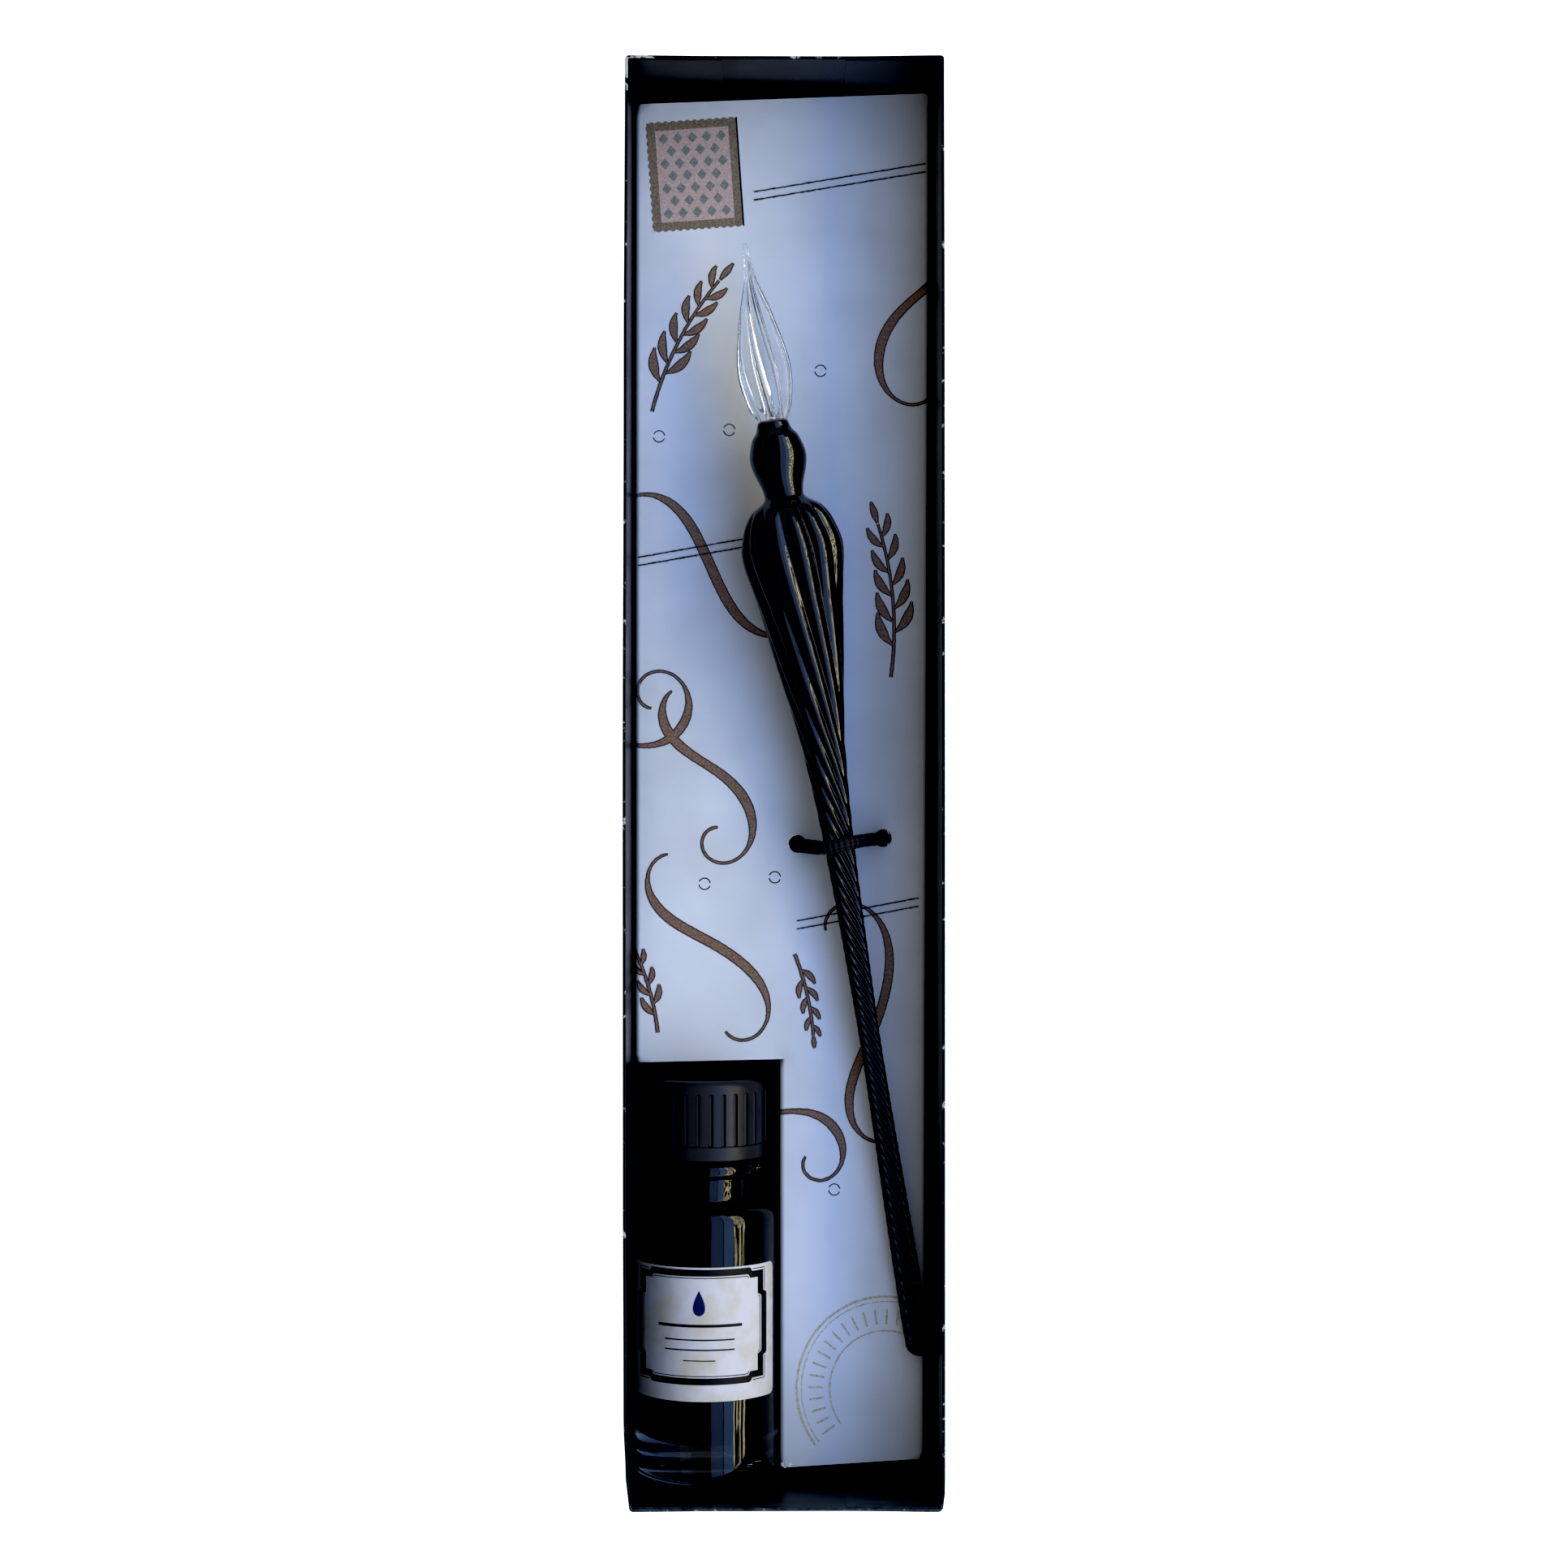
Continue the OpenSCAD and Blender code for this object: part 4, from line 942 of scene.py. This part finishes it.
# Where the black glass was melted on, it runs thin and lets a little red through
seam_glass, where = material("thin_reddish_seam_glass")
run_out = add(seam_glass, "ShaderNodeTexNoise", {"Vector": where, "Scale": 1000 / 1.2, "Detail": 2.0})
red = add(seam_glass, "ShaderNodeValToRGB", {"Fac": run_out}, [(0.0, "#2A1517"), (1.0, "#C98A86")])
shader = add(seam_glass, "ShaderNodeBsdfPrincipled", {
    "Base Color": red, "Roughness": 0.15, "IOR": 1.5})
add(seam_glass, "ShaderNodeOutputMaterial", {"Surface": shader})
around = RIBS * len(rib_shares)
places = [int(3 * around <= k < 5 * around) for k in range(len(faces))]  # the seam is two rings
handle = new_piece("twisted_handle", (points, faces, places), [dark_glass, seam_glass], crease=50)
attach(handle, "pen")
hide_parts("pen_handle")

# Bottle
# A moulded clear glass vial with a thick base, a bead below its screw finish and
# a ring of fine knurls round the heel. It lies on the tray's floor.
BOTTLE_X, BOTTLE_Y, BOTTLE_Z = -11.9, -105.4, 11.55
BODY_R, HEEL_R, SHOULDER_R, BODY_TOP = 11.0, 1.8, 2.5, 42.0
NECK_R, NECK_FILLET, BEAD_BOTTOM, BEAD_R, BEAD_TOP = 7.0, 1.2, 45.7, 1.4, 48.5
FINISH_R, LIP, LIP_R, MOUTH_R = 6.9, 58.4, 0.8, 5.0
WALL, BASE_WALL, HOLLOW_R = 1.6, 5.7, 5.0
THREAD_PITCH, THREAD_OUT, THREAD_HALF, THREAD_TURNS, THREAD_FROM = 2.5, 0.85, 0.95, 1.6, 50.6
KNURLS, KNURL_OUT = 46, 0.10


def bottle_point(angle, height, radius):
    """A point round the bottle's axis; 270 degrees is uppermost."""
    turn = math.radians(angle)
    return (BOTTLE_X + radius * math.cos(turn), BOTTLE_Y + height, BOTTLE_Z - radius * math.sin(turn))


def turned(profile, angles, shape=None):
    """Closed skin turned round the bottle's axis from (radius, height) pairs, ends on the axis."""
    points, rows = [], []
    for radius, height in profile:
        if radius == 0:
            rows.append([len(points)] * len(angles))
            points.append(bottle_point(0, height, 0))
        else:
            rows.append(range(len(points), len(points) + len(angles)))
            points += [bottle_point(a, height, radius + (shape(radius, height, a) if shape else 0))
                       for a in angles]
    faces = []
    for low, high in zip(rows, rows[1:]):
        for c in range(len(angles)):
            n = (c + 1) % len(angles)
            face = list(dict.fromkeys((low[c], low[n], high[n], high[c])))
            if len(face) > 2:
                faces.append(tuple(face))
    return points, faces


def glass_shape(radius, height, angle):
    """The thread on the neck and the knurls on the heel."""
    if BEAD_TOP + 0.3 < height < LIP - LIP_R and radius > MOUTH_R + 0.5:
        out = 0
        for lap in range(3):
            turns = angle / 360 + lap
            fade = min(1, turns * 9, (THREAD_TURNS - turns) * 9)
            if fade > 0:
                off = (height - THREAD_FROM - THREAD_PITCH * turns) / THREAD_HALF
                out = max(out, THREAD_OUT * fade * max(0, 1 - off * off) ** 0.8)
        return out
    if height < 0.35 and radius > BODY_R - 2.6:
        return KNURL_OUT * max(0, math.sin(math.radians(angle) * KNURLS)) ** 2
    return 0


glass = [(0, 1.0), (3, 0.95), (5.5, 0.75), (7.4, 0.45), (8.3, 0.16), (8.75, 0.03)]
glass += arc(BODY_R - HEEL_R, HEEL_R, HEEL_R, -90, 0, 12)
glass += [(BODY_R, h) for h in np.linspace(4, BODY_TOP - SHOULDER_R - 1, 18)]
glass += arc(BODY_R - SHOULDER_R, BODY_TOP - SHOULDER_R, SHOULDER_R, 0, 90, 12)
glass += arc(NECK_R + NECK_FILLET, BODY_TOP + NECK_FILLET, NECK_FILLET, 270, 180, 7)
glass += arc(NECK_R + 0.1, BEAD_BOTTOM + BEAD_R, BEAD_R, -85, 85, 16)
glass += [(FINISH_R, h) for h in np.arange(BEAD_TOP + 0.25, LIP - LIP_R, 0.22)]
glass += arc(FINISH_R - LIP_R, LIP - LIP_R, LIP_R, 0, 90, 7)
hollow = [(MOUTH_R + 0.3, LIP), (MOUTH_R, LIP - 0.3), (MOUTH_R, 50.0), (MOUTH_R, 41.2)]
hollow += arc(MOUTH_R + 0.8, BODY_TOP - WALL + 0.8, 0.8, 180, 270, 5)
hollow += arc(BODY_R - WALL - SHOULDER_R, BODY_TOP - WALL - SHOULDER_R, SHOULDER_R, 90, 0, 10)
hollow += [(BODY_R - WALL, h) for h in (32, 26, 20, 14)]
hollow += arc(BODY_R - WALL - HOLLOW_R, BASE_WALL + HOLLOW_R, HOLLOW_R, 0, -90, 16)
floor_of_hollow = [(2, BASE_WALL), (0, BASE_WALL)]
glass_skin = turned(glass + hollow + floor_of_hollow, [2.5 * k for k in range(144)], glass_shape)

# Soda-lime glass, machine-moulded: clear, a touch green and gently rippled
bottle_glass, where = material("moulded_soda_lime_glass")
swirl = add(bottle_glass, "ShaderNodeTexNoise", {"Vector": where, "Scale": 1000 / 9, "Detail": 2.0})
flow = add(bottle_glass, "ShaderNodeBump", {"Height": swirl, "Strength": 0.25, "Distance": 0.25 * MM})
shader = add(bottle_glass, "ShaderNodeBsdfPrincipled", {
    "Base Color": "#EEF4F4", "Roughness": 0.0, "IOR": 1.52, "Transmission Weight": 1.0, "Normal": flow})
add(bottle_glass, "ShaderNodeOutputMaterial", {"Surface": shader})
vial = new_piece("glass_vial", glass_skin, [bottle_glass], crease=40)
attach(vial, "bottle")
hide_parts("bottle_glass")

# Ink
# Carbon black ink fills the bottle and wets the glass, so its skin reaches a hair
# into the glass and no air shows between the two.
WET = 0.02
INK_TOP = LIP - 0.6
MIDWAY = 30  # above this the hollow narrows to its mouth, and below it to its base
wetted = [(r + WET, min(h + (WET if h > MIDWAY else -WET), INK_TOP)) for r, h in hollow[1:]]
ink_profile = [(0, INK_TOP)] + wetted + [(r, h - WET) for r, h in floor_of_hollow]
black_ink, where = material("carbon_black_ink")
settle = add(black_ink, "ShaderNodeTexNoise", {"Vector": where, "Scale": 1000 / 12, "Detail": 2.0})
pigment = add(black_ink, "ShaderNodeValToRGB", {"Fac": settle}, [(0.0, "#010102"), (1.0, "#050508")])
# Against wet glass its surface hardly shines, so its IOR is what is left between the two
shader = add(black_ink, "ShaderNodeBsdfPrincipled", {
    "Base Color": pigment, "Roughness": 0.05, "IOR": 1.13})
add(black_ink, "ShaderNodeOutputMaterial", {"Surface": shader})
ink = new_piece("black_ink_fill", turned(ink_profile, [5 * k for k in range(72)]), [black_ink], crease=40)
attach(ink, "bottle")
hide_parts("ink")

# Label
# Uncoated antique-laid paper, glued round the front of the glass and printed with
# a heavy notched frame. Plain ruled lines and a drop stand inside the frame.
LABEL_R, PAPER = 11.01, 0.1
LABEL_LENGTH, LABEL_LOW, LABEL_HIGH, LABEL_ROLL, LABEL_CORNER = 27.0, 13.3, 33.3, 4.0, 1.0
FRAME_MIDDLE = 24.4  # height of the frame's middle on the bottle
FRAME_TOP, FRAME_SIDE = 8.6, 11.55  # from the frame's middle out to its edges
FRAME_BULGE, FRAME_CORNER, FRAME_SHOULDER = 8.3, 10.75, 4.75  # and to the parts of its notches
FRAME_ROUND, FRAME_STEP = 0.5, 0.6
FRAME_LINE = 0.11  # width of the thin line inside the frame and across its corners
PRINT_LIFT = 0.015


def label_point(s, height, lift):
    """A point of the label: s runs round the bottle from the label's middle."""
    return bottle_point(270 - LABEL_ROLL + math.degrees(s / LABEL_R), height, LABEL_R + PAPER + lift)


outline = []
middle, half = (LABEL_LOW + LABEL_HIGH) / 2, (LABEL_HIGH - LABEL_LOW) / 2 - LABEL_CORNER
for sx, sy, start in ((1, 1, 0), (-1, 1, 90), (-1, -1, 180), (1, -1, 270)):
    outline += arc(sx * (LABEL_LENGTH / 2 - LABEL_CORNER), middle + sy * half, LABEL_CORNER,
                   start, start + 90, 6)
label_skin = ([], [], [])
lay(label_skin, *slab(*cut_sheet(outline, [], 0.9), label_point, -PAPER, 0))


def mirrored(quarter):
    """A whole outline from its upper right quarter, which runs clockwise from the top middle."""
    right = quarter + [(s, -t) for s, t in reversed(quarter)]
    return right + [(-s, t) for s, t in reversed(right)]


def frame_quarter(inset):
    """The frame's notched outline, inset from its outside."""
    bulge, corner = FRAME_BULGE - 0.35 * inset, FRAME_CORNER - 1.2 * inset
    shoulder = FRAME_SHOULDER - 0.35 * inset
    top, outer = FRAME_TOP - inset, FRAME_SIDE - 1.2 * inset
    notch = [(bulge + 0.15, top - FRAME_STEP), (corner, top - FRAME_STEP), (corner, shoulder + 0.15)]
    step, out = [[(s + FRAME_ROUND * (math.sin(a) - 1), t + FRAME_ROUND * (math.cos(a) - 1))
                  for a in np.linspace(low, high, 5)]
                 for s, t, low, high in ((bulge, top, 0, 1.3), (outer, shoulder, 0.25, 1.57))]
    tops = [(bulge * k / 8, top) for k in range(8)]
    sides = [(outer, (shoulder - FRAME_ROUND) * (1 - k / 5)) for k in range(1, 6)]
    return tops + step + notch + out + sides


def label_line(controls, width):
    """Lays a thin printed line on the label."""
    line = []
    for here, there in zip(controls, controls[1:]):
        line += stretch(here, there, max(1, round(math.dist(here, there) / 0.4)))
    line = np.array([(s, t + FRAME_MIDDLE, width) for s, t in line + [controls[-1]]])
    lay(label_skin, *slab(*pen_line(line), label_point, PRINT_LIFT - INK_SKIN, PRINT_LIFT + 0.003), 1)


def label_patch(outline, holes, spacing, place):
    """Lays a printed area on the label."""
    outline, *holes = [[(s, t + FRAME_MIDDLE) for s, t in ring] for ring in [outline] + holes]
    sheet = cut_sheet(outline, holes, spacing)
    lay(label_skin, *slab(*sheet, label_point, PRINT_LIFT - INK_SKIN, PRINT_LIFT), place)


label_patch(mirrored(frame_quarter(0)), [mirrored(frame_quarter(1.0))], 0.6, 1)
for sx in (-1, 1):
    for sy in (-1, 1):
        label_line([(sx * s, sy * t) for s, t in ((8.55, 8.32), (11.05, 8.32), (11.05, 5.0))], FRAME_LINE)
inside_line = frame_quarter(1.28)
tops = [p for p in inside_line if p[1] > 6.75]
sides = [p for p in inside_line if p[0] > 9.55 and p[1] < 4.6]
for sign in (-1, 1):
    label_line([(-s, sign * t) for s, t in reversed(tops)] + [(s, sign * t) for s, t in tops], FRAME_LINE)
    label_line([(sign * s, t) for s, t in sides] + [(sign * s, -t) for s, t in reversed(sides)], FRAME_LINE)

# A plain drop over ruled lines
label_patch([(1.25 * math.sin(a) * math.sin(a / 2) ** 1.3, 3.6 + 1.9 * math.cos(a))
             for a in np.linspace(0.12, 2 * math.pi - 0.12, 40)], [], 0.5, 2)
for t, reach, width in ((0.2, 6.6, 0.42), (-1.9, 5.4, 0.2), (-3.4, 5.4, 0.2), (-5.0, 2.4, 0.14)):
    label_line([(-reach, t), (reach, t)], width)

# Laid label paper: pale lavender grey with yellowish ageing clouds, matt
label_paper, where = material("aged_laid_paper")
age = add(label_paper, "ShaderNodeTexNoise", {
    "Vector": where, "Scale": 1000 / 5.5, "Detail": 4.0, "Roughness": 0.6})
laid = add(label_paper, "ShaderNodeTexNoise", {"Vector": where, "Scale": 1000 / 0.4, "Detail": 3.0})
tint = add(label_paper, "ShaderNodeValToRGB", {"Fac": age}, [(0.42, "#CBCACD"), (0.68, "#C1BCAA")])
weave = add(label_paper, "ShaderNodeBump", {"Height": laid, "Strength": 0.3, "Distance": 0.03 * MM})
shader = add(label_paper, "ShaderNodeBsdfPrincipled", {
    "Base Color": tint, "Roughness": 0.75, "IOR": 1.45, "Normal": weave})
add(label_paper, "ShaderNodeOutputMaterial", {"Surface": shader})
label_inks = [print_ink("black_label_ink", "#0B0B0D", "#141416", 0.1),
              print_ink("navy_label_ink", "#141C4E", "#1C2560", 0.1)]
label = new_piece("paper_label", label_skin, [label_paper] + label_inks, crease=50)
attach(label, "bottle")
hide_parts("bottle_label")

# Screw cap
# Injection-moulded black polypropylene. Thirty narrow grip grooves with round tops
# end square on a smooth skirt, and the top is slightly dished.
CAP_R, CAP_HEIGHT, CAP_FOOT, CAP_TOP, CAP_EDGE, CAP_BORE = 9.3, 12.0, 48.8, 1.2, 1.2, 8.1
GROOVES, GRIP_R, GRIP_DEPTH, GRIP_TOP, SKIRT = 30, 0.35, 0.4, 1.9, 2.2
LINE_DEPTH, LINE_HALF, LINE_DROP = 0.1, 0.07, 0.06  # the fine line just below the skirt's edge
pitch = 360 / GROOVES
groove_end = CAP_HEIGHT - GRIP_TOP - GRIP_R


def cap_shape(radius, height, angle):
    """The grip grooves, and the fine line between them and the skirt."""
    height -= CAP_FOOT
    if radius < CAP_R - 0.4 or height < 0.5:
        return 0
    across = math.radians((angle + pitch / 2) % pitch - pitch / 2) * CAP_R
    away = math.hypot(across, max(0.0, height - groove_end))
    if height > SKIRT and away < GRIP_R:
        return -(GRIP_DEPTH - GRIP_R + math.sqrt(GRIP_R ** 2 - away ** 2))
    return -LINE_DEPTH * max(0.0, 1 - abs(height - SKIRT + LINE_DROP) / LINE_HALF)


shares = (0, 0.05, 0.095, 0.135, 0.165, 0.182, 0.21, 0.3, 0.4, 0.5)
angles = [pitch * (k + share) for k in range(GROOVES)
          for share in [-s for s in shares[:0:-1]] + list(shares[:-1])]
cap = [(0, CAP_HEIGHT - CAP_TOP), (CAP_BORE, CAP_HEIGHT - CAP_TOP), (CAP_BORE, 0.4), (CAP_BORE + 0.3, 0)]
cap += [(CAP_R - 0.25, 0), (CAP_R - 0.02, 0.12), (CAP_R, 0.3), (CAP_R - 0.03, 0.5), (CAP_R - 0.03, 1.4)]
cap += [(CAP_R - 0.02, SKIRT + h) for h in (-0.16, -0.1, -0.06, -0.01)]
cap += [(CAP_R, h) for h in np.linspace(SKIRT + 0.02, groove_end, 12)]
cap += [(CAP_R, groove_end + GRIP_R * k) for k in (0.2, 0.4, 0.58, 0.74, 0.86, 0.95, 1.0, 1.12)]
cap += arc(CAP_R - CAP_EDGE, CAP_HEIGHT - CAP_EDGE, CAP_EDGE, 5, 90, 11)
cap += [(r, CAP_HEIGHT - dish) for r, dish in (
    (7.7, 0), (7.5, 0.08), (7.3, 0.3), (7.1, 0.34), (4, 0.36), (0, 0.36))]
cap_skin = turned([(r, CAP_FOOT + h) for r, h in cap], angles, cap_shape)

# Black polypropylene: satin moulded skin with faint flow clouds and fine dust
cap_plastic, where = material("moulded_black_polypropylene")
flow_marks = add(cap_plastic, "ShaderNodeTexNoise", {"Vector": where, "Scale": 1000 / 3, "Detail": 3.0})
skin = add(cap_plastic, "ShaderNodeTexNoise", {"Vector": where, "Scale": 1000 / 0.25, "Detail": 2.0})
satin = add(cap_plastic, "ShaderNodeMapRange", {
    "Value": flow_marks, "From Min": 0.3, "From Max": 0.7, "To Min": 0.34, "To Max": 0.44})
pores = add(cap_plastic, "ShaderNodeBump", {"Height": skin, "Strength": 0.12, "Distance": 0.02 * MM})
shader = add(cap_plastic, "ShaderNodeBsdfPrincipled", {
    "Base Color": "#2C2C30", "Roughness": satin, "IOR": 1.49, "Normal": pores})
add(cap_plastic, "ShaderNodeOutputMaterial", {"Surface": shader})
lid = new_piece("grooved_cap", cap_skin, [cap_plastic], crease=35)
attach(lid, "cap")
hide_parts("bottle_cap")

# Cap liner
# A disc of white expanded polyethylene, pressed into the cap to seal the mouth. It
# is the plain solid itself, with the foam's look.
liner_foam, where = material("expanded_polyethylene_foam")
foam_cells = add(liner_foam, "ShaderNodeTexVoronoi", {"Vector": where, "Scale": 1000 / 0.35})
bubble = add(liner_foam, "ShaderNodeBump", {"Height": foam_cells, "Strength": 0.4, "Distance": 0.05 * MM})
shader = add(liner_foam, "ShaderNodeBsdfPrincipled", {
    "Base Color": "#DDDCD6", "Roughness": 0.7, "Normal": bubble})
add(liner_foam, "ShaderNodeOutputMaterial", {"Surface": shader})
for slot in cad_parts["cap_liner"].material_slots:
    slot.material = liner_foam
